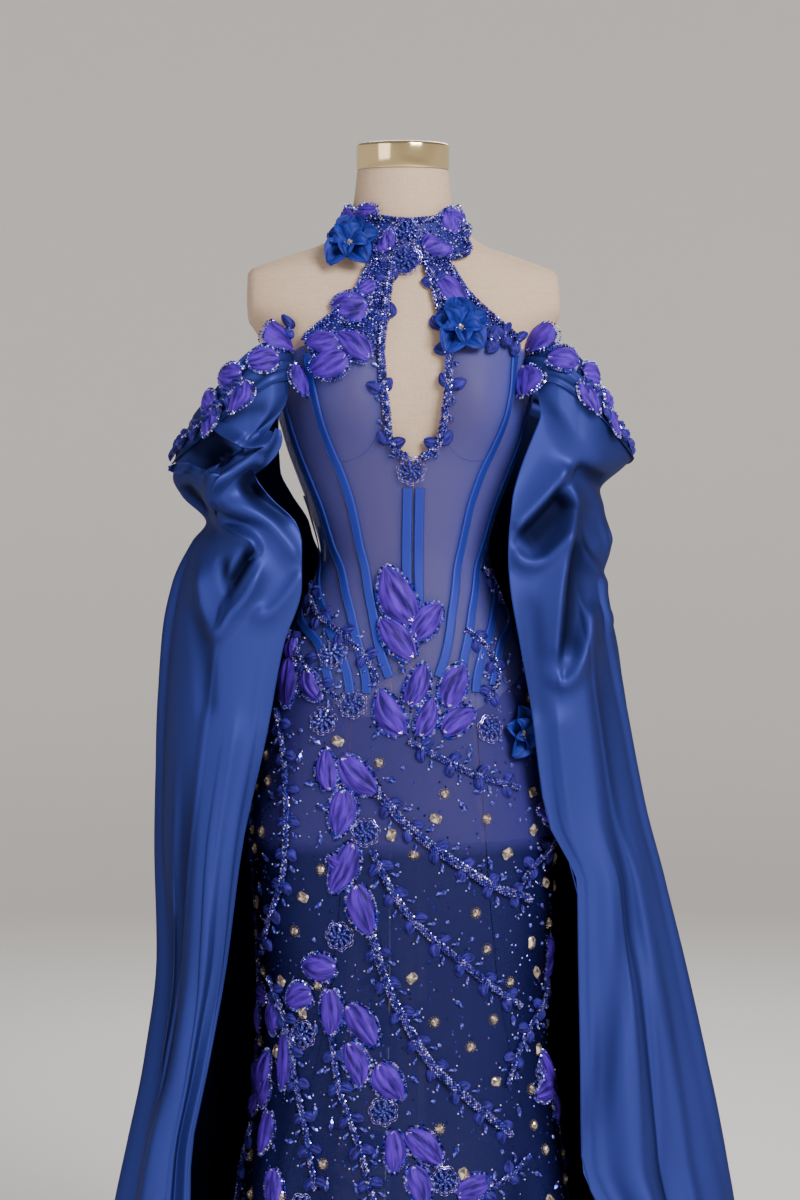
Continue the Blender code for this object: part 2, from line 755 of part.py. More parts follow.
def build_bands(finishes, parts):
    columns = 26
    lines = (-1, -0.35, 0.35, 1)
    for side, sign in (("L", -1), ("R", 1)):
        inner = []
        outer = []
        for i in range(columns + 1):
            part = i / columns
            low = band_point(part, -1, sign)
            across = band_point(part, 1, sign) - low
            along = band_point(part + 0.01, 0, sign) - band_point(part - 0.01, 0, sign)
            away = along.cross(across).normalized() * sign
            # petals and beads sewn on the front stretch
            lump = BAND_PETALS * max(bump(part - middle, 0.07) for middle in BAND_PETAL_PARTS)
            row = [band_point(part, share, sign) for share in lines]
            lifts = (0.0, lump, lump, 0.0)
            inner.append(row)
            outer.append([point + away * (SATIN_CLOTH + lift) for point, lift in zip(row, lifts)])
        wall(f"arm_band_{side}", outer, inner, finishes["satin"], parts)


def curve_point(points, t):
    # a smooth curve through a few points of the plan
    count = len(points) - 1
    i = min(int(t * count), count - 1)
    t = t * count - i
    p0 = points[i - 1] if i > 0 else points[0] * 2 - points[1]
    p1 = points[i]
    p2 = points[i + 1]
    p3 = points[i + 2] if i + 2 <= count else points[count] * 2 - points[count - 1]
    return 0.5 * (2 * p1 + (p2 - p0) * t + (2 * p0 - 5 * p1 + 4 * p2 - p3) * t**2
                  + (3 * p1 - p0 - 3 * p2 + p3) * t**3)


def cape_plan(side, part, height):
    plan = CAPE_PLAN[side]
    front_x, front_y, outer_x, outer_y, back_x, back_y = (
        plan.at(height, name) for name in plan.columns[1:])
    stops = [
        Vector((front_x, front_y, 0)),
        Vector((mix(front_x, outer_x, 0.62), front_y * 0.92, 0)),
        Vector((outer_x, outer_y, 0)),
        Vector((mix(outer_x, back_x, 0.42), back_y * 0.86, 0)),
        Vector((back_x, back_y, 0)),
    ]
    return curve_point(stops, part)


def cape_point(side, part, down):
    sign = -1 if side == "L" else 1
    low, high = CAPE_TOP_SHARE
    top = band_point(mix(low, high, part), -1, sign)
    up = band_frame(mix(low, high, part), sign)[1]
    top = top - up * CAPE_DROP
    height = mix(top.z, HEM_HEIGHT, down)
    here = cape_plan(side, part, height)
    ahead = cape_plan(side, min(part + 0.02, 1), height) - cape_plan(side, max(part - 0.02, 0), height)
    away = Vector((ahead.y, -ahead.x, 0)).normalized()
    push = 0.0
    for middle, half_width, depth, start in CAPE_FOLDS[side]:
        push += depth * bump(part - middle, half_width) * (1 - smooth(height, 0.15, start))
    for middle, level, half_width, half_height, depth, slope in CAPE_DENTS[side]:
        off = height - level - slope * (part - middle)
        push += depth * bump(part - middle, half_width) * bump(off, half_height)
    here = here - away * push
    point = Vector((here.x * sign, here.y, height))
    # the cloth hangs straight from its band before it spreads to the plan
    start = CAPE_SPREAD.at(part, "height")
    return mix(Vector((top.x, top.y, height)), point, smooth(start - height, 0.0, 0.045))


def build_capes(finishes, parts):
    for side in ("L", "R"):
        grid = []
        for i in range(CAPE_COLUMNS + 1):
            line = []
            for k in range(CAPE_ROWS + 1):
                down = (k / CAPE_ROWS) ** 1.35
                line.append(cape_point(side, i / CAPE_COLUMNS, down))
            grid.append(line if side == "L" else line[::-1])
        sheet(f"cape_{side}", grid, SATIN_CLOTH, finishes["satin"], parts)


def cloth_point(angle, height, local, out):
    # local is a step in metres along the cloth, sideways and up
    degree = (bare_point(angle + 1, height) - bare_point(angle - 1, height)).length / 2
    return figure_point(angle + local[0] / degree, height + local[1], out)


def petal_lift(local, petals):
    # how high the petals stand at a place: the domes of the petals, with a vein down each
    best = 0.0
    for direction, length, width in petals:
        heading = math.radians(direction)
        along = local[0] * math.cos(heading) + local[1] * math.sin(heading)
        across = -local[0] * math.sin(heading) + local[1] * math.cos(heading)
        u = (along - length * 0.5) / (length * 0.5)
        v = across / (width * 0.5)
        best = max(best, 1 - u * u - v * v)
    return PETAL_HEIGHT * math.sqrt(best) if best > 0 else 0.0


def spray_reach(direction, petals):
    # how far the spray's edge lies from its middle in a direction
    reach = 0.014
    for heading, length, width in petals:
        off = abs(turn(direction - heading))
        spread = math.degrees(math.atan2(width * 0.62, length * 0.5))
        if off < spread:
            reach = max(reach, (length + 0.003) * math.cos(off / spread * math.pi / 2) ** 0.45)
    return reach


def build_spray(name, middle, petals, finish, parts):
    x, height = middle
    angle = front_angle(x, height)
    surface = BODICE_OUT + (BACKING_LIFT if height < BASQUE.at(abs(angle), "height") else BODICE_BACKING_LIFT)
    bm = bmesh.new()
    rims = []
    for face, rings in (("top", 3), ("bottom", 2)):
        hub = None
        last = None
        for ring in range(rings + 1):
            points = []
            for i in range(SPRAY_DIRECTIONS):
                direction = 360 * i / SPRAY_DIRECTIONS
                reach = spray_reach(direction, petals) * ring / rings
                heading = math.radians(direction)
                local = (reach * math.cos(heading), reach * math.sin(heading))
                out = surface
                if face == "top":
                    out += BACKING + petal_lift(local, petals) * (ring < rings)
                points.append(cloth_point(angle, height, local, out))
                if ring == 0:
                    break
            if ring == 0:
                hub = bm.verts.new(points[0])
                continue
            verts = [bm.verts.new(point) for point in points]
            if last is None:
                for i in range(SPRAY_DIRECTIONS):
                    bm.faces.new((hub, verts[i], verts[(i + 1) % SPRAY_DIRECTIONS]))
            else:
                join_rims(bm, last, verts)
            last = verts
        rims.append(last)
    join_rims(bm, rims[0], rims[1])
    bmesh.ops.recalc_face_normals(bm, faces=bm.faces)
    place(name, bm, finish, parts)


def build_vine(name, stops, finish, parts):
    # the stem is a narrow strip that widens at each pair of leaves
    route = [Vector((front_angle(x, z), z, 0)) for x, z in stops]
    ends = [cloth_point(stop.x, stop.y, (0, 0), 0) for stop in route]
    length = sum((b - a).length for a, b in zip(ends, ends[1:]))
    steps = 4 * max(round(length / LEAF_SPACING), 2)
    surface = BODICE_OUT + BACKING_LIFT
    inner = []
    outer = []
    for i in range(steps + 1):
        here = curve_point(route, i / steps)
        ahead = curve_point(route, min(i / steps + 0.01, 1))
        behind = curve_point(route, max(i / steps - 0.01, 0))
        middle = bare_point(here.x, here.y)
        run = (bare_point(ahead.x, ahead.y) - bare_point(behind.x, behind.y)).normalized()
        rise = run.z
        level = math.sqrt(max(1 - rise * rise, 0.0)) * (1 if ahead.x > behind.x else -1)
        leaf = 0.5 - 0.5 * math.cos(2 * math.pi * i / 4)
        reach = mix(VINE_WIDTH / 2, LEAF_REACH, leaf)
        low = []
        high = []
        for step, lift in zip((-1, 0, 1), (BACKING, BACKING + STEM_HEIGHT, BACKING)):
            local = (-rise * reach * step, level * reach * step)
            low.append(cloth_point(here.x, middle.z, local, surface))
            high.append(cloth_point(here.x, middle.z, local, surface + lift + LEAF_HEIGHT * leaf))
        inner.append(low)
        outer.append(high)
    wall(name, outer, inner, finish, parts)


def build_flower(name, x, height, radius, finish, parts):
    # petals rise from a small foot on the cloth and spread clear of it
    angle = front_angle(x, height)
    foot = figure_point(angle, height, BODICE_OUT + FLOWER_LIFT[name])
    normal = (foot - figure_point(angle, height)).normalized()
    side = Vector((0, 0, 1)).cross(normal).normalized()
    up = normal.cross(side)
    directions = FLOWER_PETALS * 6
    profile = (
        # share of the radius, height at the petals' middle, height between petals
        (0.10, 0.0, 0.0),
        (0.45, 0.010, 0.006),
        (1.00, 0.014, 0.010),
        (0.70, 0.0165, 0.011),
        (0.30, 0.010, 0.008),
    )
    bm = bmesh.new()
    rings = []
    for share, high, low in profile:
        ring = []
        for i in range(directions):
            turned_by = 2 * math.pi * i / directions
            lobe = abs(math.cos(FLOWER_PETALS * turned_by / 2))
            reach = radius * share * mix(1.0, 0.62 + 0.38 * lobe**0.6, share)
            spot = foot + (side * math.cos(turned_by) + up * math.sin(turned_by)) * reach
            ring.append(bm.verts.new(spot + normal * mix(low, high, lobe)))
        rings.append(ring)
    for low, high in zip(rings, rings[1:]):
        join_rims(bm, low, high)
    bm.faces.new(rings[0][::-1])
    crown = bm.verts.new(foot + normal * 0.014)
    for i in range(directions):
        bm.faces.new((rings[-1][i], rings[-1][(i + 1) % directions], crown))
    bmesh.ops.recalc_face_normals(bm, faces=bm.faces)
    place(name, bm, finish, parts)


def main():
    clear_scene()
    parts = new_collection("mermaid_evening_dress")
    finishes = {
        "linen": finish_material("linen", (0.60, 0.45, 0.34), 0.85),
        "gold": finish_material("polished_gold", (0.83, 0.60, 0.25), 0.18, 1.0),
        "steel": finish_material("painted_steel", (0.05, 0.05, 0.06), 0.4, 0.6),
        "mesh": finish_material("mesh", (0.16, 0.14, 0.38), 0.6),
        "channel": finish_material("channel_satin", (0.04, 0.09, 0.55), 0.4),
        "satin": finish_material("satin", (0.045, 0.09, 0.35), 0.35),
        "skirt": finish_material("beaded_mesh", (0.02, 0.02, 0.15), 0.6),
        "applique": finish_material("applique", (0.10, 0.04, 0.50), 0.5),
        "chiffon": finish_material("chiffon", (0.03, 0.07, 0.45), 0.6),
    }
    build_form(finishes, parts)
    build_bodice(finishes, parts)
    build_channels(finishes, parts)
    build_skirt(finishes, parts)
    build_zip(finishes, parts)
    build_halter(finishes, parts)
    build_collar(finishes, parts)
    build_bands(finishes, parts)
    build_capes(finishes, parts)
    for name, (middle, petals) in SPRAYS.items():
        build_spray(name, middle, petals, finishes["applique"], parts)
    for name, stops in VINES.items():
        build_vine(name, stops, finishes["applique"], parts)
    for name, (x, height, radius) in FLOWERS.items():
        build_flower(name, x, height, radius, finishes["chiffon"], parts)


main()
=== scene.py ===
import json
import math
import bpy
import bmesh
import numpy as np
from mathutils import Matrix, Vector

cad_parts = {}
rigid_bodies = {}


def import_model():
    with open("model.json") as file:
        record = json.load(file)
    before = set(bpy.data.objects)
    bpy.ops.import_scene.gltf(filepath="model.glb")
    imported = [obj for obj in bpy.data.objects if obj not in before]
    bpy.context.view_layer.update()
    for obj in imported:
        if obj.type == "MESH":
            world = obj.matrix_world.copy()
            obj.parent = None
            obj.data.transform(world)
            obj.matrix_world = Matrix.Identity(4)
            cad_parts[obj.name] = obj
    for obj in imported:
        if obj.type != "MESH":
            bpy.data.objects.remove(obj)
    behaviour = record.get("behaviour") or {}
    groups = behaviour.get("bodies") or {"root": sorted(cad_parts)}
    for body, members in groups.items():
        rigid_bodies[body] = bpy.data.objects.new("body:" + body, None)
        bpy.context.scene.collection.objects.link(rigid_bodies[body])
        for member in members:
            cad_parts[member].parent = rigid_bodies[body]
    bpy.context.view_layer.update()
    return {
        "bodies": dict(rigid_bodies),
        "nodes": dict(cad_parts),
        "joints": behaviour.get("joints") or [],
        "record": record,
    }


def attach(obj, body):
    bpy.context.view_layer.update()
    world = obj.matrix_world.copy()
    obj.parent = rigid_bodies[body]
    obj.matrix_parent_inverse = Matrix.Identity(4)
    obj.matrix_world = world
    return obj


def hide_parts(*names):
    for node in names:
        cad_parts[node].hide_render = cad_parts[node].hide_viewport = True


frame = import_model()
print("frame loaded")

# The dress faces -Y, +X is on the right in the photo, the floor is z = 0.
# Columns and rows below are pixels of the 800 x 1200 photo.
pixel = 0.00127                  # metres
photo = {
    "floorRow": 1400,
    "middleColumn": 404,
    "turn": math.radians(7),     # the lens stands this much to the left of straight ahead
    "distance": 4.0,
    "eyeHeight": 1.2,
    "middleRow": 600,
}
netFace = 0.0038                 # the outer face of the net, from the body
cloth = {
    "ease": 0.003,               # between the form and the net
    "gap": 0.0003,               # half of an open seam
    "hem": 0.004,
    "chiffon": 0.0006,
}
twoSides = (("L", -1), ("R", 1))
chance = np.random.default_rng(11)


# numbers and tables

def smooth(value, low, high):
    t = np.clip((value - low) / (high - low), 0.0, 1.0)
    return t * t * (3 - 2 * t)


def bump(distance, halfWidth):
    near = np.clip(np.abs(distance) / halfWidth, 0.0, 1.0)
    return 0.5 + 0.5 * np.cos(np.pi * near)


def mix(a, b, t):
    return a + (b - a) * t


def wrapTurn(degrees):
    return (degrees + 180.0) % 360.0 - 180.0


def unit(v):
    return v / np.maximum(np.linalg.norm(v, axis=-1, keepdims=True), 1e-12)


def spread(*values):
    return np.broadcast_arrays(*(np.asarray(value, float) for value in values))


class SmoothTable:
    # rows under named columns, read smoothly between the rows; unit=1000 is for rows in millimetres
    def __init__(self, columns, *rows, unit=1):
        self.columns = columns.split()
        grid = np.array(sorted(rows), float) / unit
        self.keys = grid[:, 0]
        self.fine = np.linspace(self.keys[0], self.keys[-1], 3000)
        self.dense = {name: self.exact(self.fine, grid[:, i]) for i, name in enumerate(self.columns)}

    def exact(self, key, values):
        keys = self.keys
        slopes = np.diff(values) / np.diff(keys)
        before = np.concatenate([slopes[:1], slopes])
        after = np.concatenate([slopes, slopes[-1:]])
        total = np.where(before + after == 0, 1.0, before + after)
        tangent = np.where(before * after > 0, 2 * before * after / total, 0.0)
        i = np.clip(np.searchsorted(keys, key, side="right") - 1, 0, len(keys) - 2)
        span = keys[i + 1] - keys[i]
        t = (key - keys[i]) / span
        return ((2 * t**3 - 3 * t**2 + 1) * values[i] + (t**3 - 2 * t**2 + t) * span * tangent[i]
                + (3 * t**2 - 2 * t**3) * values[i + 1] + (t**3 - t**2) * span * tangent[i + 1])

    def at(self, key, name):
        return np.interp(key, self.fine, self.dense[name])


# half width and depths of the form, and below it of the skirt
figure = SmoothTable(
    "height halfWidth front back centre",
    (0, 262, 240, 300, 0), (100, 236, 205, 262, 0), (200, 214, 176, 224, 0),
    (298, 202, 155, 190, 0), (381, 187, 142, 170, 0), (532, 177, 130, 150, 0),
    (611, 184, 126, 146, 0), (712, 189, 118, 140, 0), (795, 179, 108, 136, 0),
    (886, 166, 100, 130, 0), (963, 146, 94, 113, 0), (1011, 123, 88, 98, 0),
    (1073, 102, 83, 82, 0), (1125, 114, 88, 83, 0), (1168, 130, 94, 90, 0),
    (1215, 147, 100, 98, 0), (1275, 162, 104, 104, 0), (1320, 172, 100, 105, 0),
    (1353, 187, 92, 102, 2), (1395, 212, 82, 92, 6),
    (1428, 204, 70, 78, 10), (1450, 156, 63, 68, 12),
    (1469, 101, 60, 64, 12), (1490, 76, 59, 61, 12),
    (1510, 65, 58, 59, 12), (1562, 58, 56, 56, 12),
    unit=1000,
)
bust = {"x": 0.085, "height": 1.262, "lift": 0.030, "spread": 0.052, "above": 0.078, "below": 0.046}
armPlateX = 0.197

# troughs of the skirt's flare: angle, half width in degrees, depth at the hem, start height
skirtFolds = (
    (8, 14, 0.016, 0.36), (-40, 15, 0.026, 0.52), (44, 16, 0.024, 0.5), (-84, 17, 0.02, 0.42),
    (88, 15, 0.022, 0.4), (-128, 17, 0.024, 0.46), (131, 16, 0.02, 0.44), (177, 15, 0.024, 0.42),
)


def shapedPoint(angle, height):
    angle, height = spread(angle, height)
    radians = np.radians(angle)
    ahead = np.cos(radians)
    depth = np.where(ahead > 0, figure.at(height, "front"), figure.at(height, "back"))
    x = figure.at(height, "halfWidth") * np.sin(radians)
    y = figure.at(height, "centre") - depth * ahead
    rise = np.where(height > bust["height"], bust["above"], bust["below"])
    lift = np.exp(-((height - bust["height"]) / rise) ** 2)
    across = np.exp(-((np.abs(x) - bust["x"]) / bust["spread"]) ** 2)
    chest = (height > 1.05) & (height < 1.42)
    y = y - np.where(chest, bust["lift"] * lift * across * smooth(ahead, 0.0, 0.5), 0.0)
    fold = np.ones_like(x)
    for middle, halfWidth, depthAtHem, start in skirtFolds:
        near = bump(wrapTurn(angle - middle), halfWidth)
        fold = fold - depthAtHem / 0.26 * near * (1 - smooth(height, 0, start))
    x = np.where(height > 1.3, np.clip(x, -armPlateX, armPlateX), x)
    return np.stack([x * fold, y * fold, height], axis=-1)


class BodyMap:
    # the body's points and outward normals on a fine lattice of angles and heights
    def __init__(self, angleStep=0.5, heightStep=0.002, low=-0.02, high=1.57):
        self.angleStep = angleStep
        self.heightStep = heightStep
        self.low = low
        angle = np.arange(-180, 180.1, angleStep)[None, :]
        height = np.arange(low, high + heightStep, heightStep)[:, None]
        self.points = shapedPoint(angle, height)
        across = shapedPoint(angle + 1.5, height) - shapedPoint(angle - 1.5, height)
        up = shapedPoint(angle, height + 0.004) - shapedPoint(angle, height - 0.004)
        self.normals = unit(np.cross(across, up))

    def read(self, grid, angle, height):
        angle, height = spread(angle, height)
        column = ((angle + 180.0) % 360.0) / self.angleStep
        row = np.clip((height - self.low) / self.heightStep, 0, grid.shape[0] - 1.001)
        k = np.minimum(column.astype(int), grid.shape[1] - 2)
        r = row.astype(int)
        column = (column - k)[..., None]
        row = (row - r)[..., None]
        low = grid[r, k] * (1 - column) + grid[r, k + 1] * column
        high = grid[r + 1, k] * (1 - column) + grid[r + 1, k + 1] * column
        return low * (1 - row) + high * row


body = BodyMap()


def barePoint(angle, height):
    return body.read(body.points, angle, height)


def bodyNormal(angle, height):
    return body.read(body.normals, angle, height)


def bodyPoint(angle, height, out=0.0):
    return barePoint(angle, height) + bodyNormal(angle, height) * np.asarray(out, float)[..., None]


def frontAngle(x, height):
    share = np.clip(np.asarray(x) / figure.at(height, "halfWidth"), -0.999, 0.999)
    return np.degrees(np.arcsin(share))


def atDepth(spots, y):
    # the points that pixels of the photo show at a depth
    near = 1 + y / photo["distance"]
    seen = (spots[..., 0] - photo["middleColumn"]) * pixel
    level = (photo["floorRow"] - spots[..., 1]) * pixel
    x = (seen * near + y * math.sin(photo["turn"])) / math.cos(photo["turn"])
    return np.stack([x, y, photo["eyeHeight"] + (level - photo["eyeHeight"]) * near], axis=-1)


def fromPhoto(spots):
    # the angles and heights on the front of the dress that pixels of the photo show
    spots = np.asarray(spots, float).reshape(-1, 2)
    angle = np.zeros(len(spots))
    height = (photo["floorRow"] - spots[:, 1]) * pixel
    for step in range(14):
        x, y, height = atDepth(spots, bodyPoint(angle, height, netFace)[:, 1]).T
        angle = mix(angle, frontAngle(x, height), 0.7)
    return angle, height


def toPhoto(points):
    # the pixels of the photo at which points near the dress are seen
    turn = photo["turn"]
    near = 1 + points[..., 1] / photo["distance"]
    seen = (points[..., 0] * math.cos(turn) - points[..., 1] * math.sin(turn)) / near
    level = photo["eyeHeight"] + (points[..., 2] - photo["eyeHeight"]) / near
    column = photo["middleColumn"] + seen / pixel
    return np.stack([column, photo["floorRow"] - level / pixel], axis=-1)


def curveAt(t, p0, p1, p2, p3):
    return 0.5 * (2 * p1 + (p2 - p0) * t + (2 * p0 - 5 * p1 + 4 * p2 - p3) * t**2
                  + (3 * p1 - p0 - 3 * p2 + p3) * t**3)


def runOf(line):
    # the length along a line up to each of its points
    return np.concatenate([[0], np.cumsum(np.linalg.norm(np.diff(line, axis=0), axis=1))])


def smoothLine(stops, count):
    # evenly spaced points on a smooth line through the stops: pairs, or their numbers in a row
    stops = np.asarray(stops, float).reshape(-1, 2)
    ends = np.concatenate([[2 * stops[0] - stops[1]], stops, [2 * stops[-1] - stops[-2]]])
    t = np.linspace(0, len(stops) - 1, 24 * len(stops))
    i = np.minimum(t.astype(int), len(stops) - 2)
    line = curveAt((t - i)[:, None], ends[i], ends[i + 1], ends[i + 2], ends[i + 3])
    run = runOf(line)
    steps = np.linspace(0, run[-1], count)
    return np.stack([np.interp(steps, run, values) for values in line.T], axis=-1)


# materials

class Wire:
    # an output of a material's node, with arithmetic
    def __init__(self, paint, socket):
        self.paint = paint
        self.socket = socket

    def maths(self, operation, first, second):
        return self.paint.add("ShaderNodeMath", {"operation": operation}, {0: first, 1: second})

    def __add__(self, other):
        return self.maths("ADD", self, other)

    def __sub__(self, other):
        return self.maths("SUBTRACT", self, other)

    def __rsub__(self, other):
        return self.maths("SUBTRACT", other, self)

    def __mul__(self, other):
        return self.maths("MULTIPLY", self, other)

    def __truediv__(self, other):
        return self.maths("DIVIDE", self, other)

    def clamped(self, low=0, high=1):
        return self.maths("MINIMUM", self.maths("MAXIMUM", self, low), high)


class Paint:
    # a material, and the nodes that lead to its shader
    def __init__(self, name, **values):
        self.material = bpy.data.materials.new(name)
        self.material.use_nodes = True
        self.tree = self.material.node_tree
        self.shader = self.tree.nodes["Principled BSDF"]
        for label, value in values.items():
            self.set(label.replace("_", " "), value)

    def set(self, label, value):
        self.feed(self.shader.inputs[label], value)

    def feed(self, socket, value):
        if isinstance(value, Wire):
            self.tree.links.new(value.socket, socket)
        elif isinstance(value, tuple) and len(value) == 3 and len(socket.default_value) == 4:
            socket.default_value = (*value, 1.0)
        else:
            socket.default_value = value

    def add(self, kind, settings=None, inputs=None, output=0):
        node = self.tree.nodes.new(kind)
        for key, value in (settings or {}).items():
            setattr(node, key, value)
        for key, value in (inputs or {}).items():
            self.feed(node.inputs[key], value)
        return Wire(self, node.outputs[output])

    def attribute(self, name, output):
        return self.add("ShaderNodeAttribute", {"attribute_name": name}, None, output)

    def axis(self, vector, letter):
        return self.add("ShaderNodeSeparateXYZ", None, {"Vector": vector}, letter)

    def scaled(self, vector, scale):
        return self.add("ShaderNodeVectorMath", {"operation": "MULTIPLY"}, {0: vector, 1: scale})

    def place(self, *scale):
        return self.scaled(self.add("ShaderNodeTexCoord", output="Object"), scale)

    def noise(self, vector, scale, detail=2.0):
        inputs = {"Vector": vector, "Scale": scale, "Detail": detail}
        return self.add("ShaderNodeTexNoise", None, inputs, "Fac")

    def blend(self, share, first, second):
        return self.add("ShaderNodeMix", {"data_type": "RGBA"}, {"Factor": share, 6: first, 7: second}, 2)

    def facing(self):
        return self.add("ShaderNodeLayerWeight", None, {"Blend": 0.5}, "Facing")

    def bumpy(self, height, distance, strength):
        inputs = {"Height": height, "Distance": distance, "Strength": strength}
        self.set("Normal", self.add("ShaderNodeBump", None, inputs))


def colour(red, green, blue):
    # screen colour of 0 to 255 as the linear colour of a shader
    def linear(c):
        c /= 255
        return c / 12.92 if c <= 0.04045 else ((c + 0.055) / 1.055) ** 2.4
    return (linear(red), linear(green), linear(blue))


def satinPaint(name, deep, lit, roughness, metallic):
    # the attribute fold carries painted shade: over the reverse, painted near black and dull (x), and in the
    # deep hollows (y)
    paint = Paint(name, Metallic=metallic, Specular_IOR_Level=0.3, Specular_Tint=(0.48, 0.55, 0.92))
    # painted light and shade: lit where the cloth faces the lens, deep towards grazing, in random lighter and
    # darker patches
    mottle = paint.noise(paint.place(1, 1, 0.4), 7.0)
    fold = paint.attribute("fold", "Vector")
    base = paint.blend((0.85 - paint.facing() * 0.9 + mottle * 0.3).clamped(), deep, lit)
    # painted shade: the reverse and the hollows darken to near black, and turn rougher
    shadeShare = (paint.axis(fold, "X") * 0.9 + paint.axis(fold, "Y") * 0.84).clamped(0, 0.92)
    paint.set("Base Color", paint.blend(shadeShare, base, colour(3, 4, 22)))
    paint.set("Roughness", shadeShare * 0.35 + roughness)
    paint.bumpy(paint.noise(paint.place(1, 1, 0.2), 900.0, 1.0), 0.0002, 0.25)
    return paint.material


def netPaint(name, deep, lit, alpha, below=None):
    # below: a darker colour where no pale form stands behind the net, painted as the shade inside the skirt,
    # and the heights it fades over
    paint = Paint(name, Roughness=0.55, Alpha=alpha, Specular_IOR_Level=0.25)
    base = paint.blend((paint.facing() * 1.1).clamped(), deep, lit)
    if below:
        dark, low, high = below
        # painted shade: the lower net darkens towards its grazing edges
        dark = paint.blend((paint.facing() * 1.5 - 0.25).clamped(), dark, colour(4, 4, 20))
        height = paint.axis(paint.place(1, 1, 1), "Z")
        base = paint.blend(((height - low) / (high - low)).clamped(), dark, base)
    paint.set("Base Color", base)
    return paint.material


def chiffonPaint(name, deep, lit):
    # the attribute fold holds the place along a petal, across it, and a number of its own; a noise over it
    # paints light and shade into the gathers
    paint = Paint(name, Roughness=0.6, Specular_IOR_Level=0.2)
    crease = paint.noise(paint.scaled(paint.attribute("fold", "Vector"), (1.3, 3.6, 3.1)), 1.6, 2.5)
    # painted light and shade of the gathers, a little lighter towards grazing as painted sheen
    tone = ((crease - 0.35) * 3.3 + paint.facing() * 0.2).clamped()
    paint.set("Base Color", paint.blend(tone, deep, lit))
    paint.bumpy(crease, 0.0022, 0.8)
    return paint.material


def linenPaint():
    paint = Paint("linen", Roughness=0.9, Specular_IOR_Level=0.2)
    warp = paint.noise(paint.place(1, 1, 0.12), 600.0)
    weft = paint.noise(paint.place(0.12, 0.12, 1), 600.0)
    weave = (warp + weft) * 0.5
    paint.set("Base Color", paint.blend(weave, colour(186, 157, 132), colour(222, 196, 172)))
    paint.bumpy(weave, 0.0008, 0.5)
    return paint.material


def beadPaint(name, roughness, metallic, coat, facets=False):
    # every bead carries its own colour in the attribute tint, every facet a painted lightness in glint: dark
    # facets as painted shade, the brightest as painted glints
    paint = Paint(name, Roughness=roughness, Metallic=metallic, Coat_Weight=coat)
    tint = paint.attribute("tint", "Color")
    if facets:
        # painted glints and shade: each facet is darkened or lit by its glint, the brightest near white
        glint = paint.attribute("glint", "Fac")
        body = paint.blend((glint * 1.4).clamped(), paint.scaled(tint, (0.24, 0.2, 0.24)), tint)
        inputs = {0: tint, 1: (1.9, 1.8, 1.4), 2: (0.08, 0.1, 0.16)}
        bright = paint.add("ShaderNodeVectorMath", {"operation": "MULTIPLY_ADD"}, inputs)
        tint = paint.blend(((glint - 0.72) * 3.6).clamped(), body, bright)
    paint.set("Base Color", tint)
    return paint.material


def plainPaint(name, base, roughness, metallic=0.0):
    return Paint(name, Roughness=roughness, Metallic=metallic, Base_Color=base).material


tones = {
    "silver": (0.58, 0.55, 0.88),
    "lilac": (0.22, 0.17, 0.62),
    "navy": (0.012, 0.014, 0.13),
    "deep": (0.02, 0.018, 0.3),
    "royal": (0.05, 0.045, 0.48),
    "sky": (0.1, 0.1, 0.66),
    "violet": (0.13, 0.06, 0.5),
    "champagne": (0.46, 0.38, 0.32),
    "clear": (0.4, 0.39, 0.42),
    "setting": (0.34, 0.25, 0.13),
}
# the satins and chiffons each get a deep and a lit colour, blended as painted light and shade
finishes = {
    "corsetNet": netPaint("corset_net", colour(66, 66, 142), colour(72, 84, 204), 0.5),
    "skirtNet": netPaint("skirt_net", colour(47, 43, 114), colour(58, 56, 150), 0.7,
                         (colour(14, 18, 84), 0.704, 0.722)),
    "satin": satinPaint("cape_satin", colour(6, 9, 40), colour(54, 63, 142), 0.55, 0.55),
    "channelSatin": satinPaint("channel_satin", colour(18, 26, 100), colour(42, 52, 156), 0.45, 0.1),
    "petal": chiffonPaint("petal_chiffon", colour(30, 8, 92), colour(90, 34, 196)),
    "leaf": chiffonPaint("leaf_chiffon", colour(16, 10, 66), colour(56, 44, 156)),
    "flower": chiffonPaint("flower_chiffon", colour(10, 18, 84), colour(36, 52, 164)),
    "base": satinPaint("beaded_ground", colour(16, 14, 64), colour(36, 32, 112), 0.5, 0.1),
    "bead": beadPaint("glass_beads", 0.18, 0.65, 0.15),
    "crystal": beadPaint("cut_crystal", 0.12, 0.45, 0.25, True),
    "thread": plainPaint("silk_thread", (0.1, 0.16, 0.62), 0.5),
    "linen": linenPaint(),
    "gold": plainPaint("polished_gold", (0.86, 0.66, 0.36), 0.12, 1.0),
    "steel": plainPaint("painted_steel", (0.62, 0.6, 0.57), 0.35, 0.2),
    "zipMetal": plainPaint("zip_teeth", (0.1, 0.12, 0.42), 0.35, 0.6),
    "floor": plainPaint("studio_floor_paint", (0.88, 0.85, 0.81), 0.9),
}
print("materials made")


# meshes

def gridFaces(rows, columns, closed=False):
    # the faces of a grid of points, or of one that closes on itself
    faces = []
    for r in range(rows - 1):
        for k in range(columns - (not closed)):
            i = r * columns + k
            j = r * columns + (k + 1) % columns
            faces.append((i, j, j + columns, i + columns))
    return faces


def tubeFaces(rings, sides):
    last = (rings - 1) * sides
    return gridFaces(rings, sides, True) + [tuple(range(sides))[::-1], tuple(range(last, last + sides))]


def rimSteps(rows, columns):
    # neighbours round the rim of a grid
    index = np.arange(rows * columns).reshape(rows, columns)
    rim = [*index[0], *index[1:, -1], *index[-1, -2::-1], *index[-2:0:-1, 0]]
    return list(zip(rim, rim[1:] + rim[:1]))


def linked(name, data):
    thing = bpy.data.objects.new(name, data)
    bpy.context.scene.collection.objects.link(thing)
    return thing


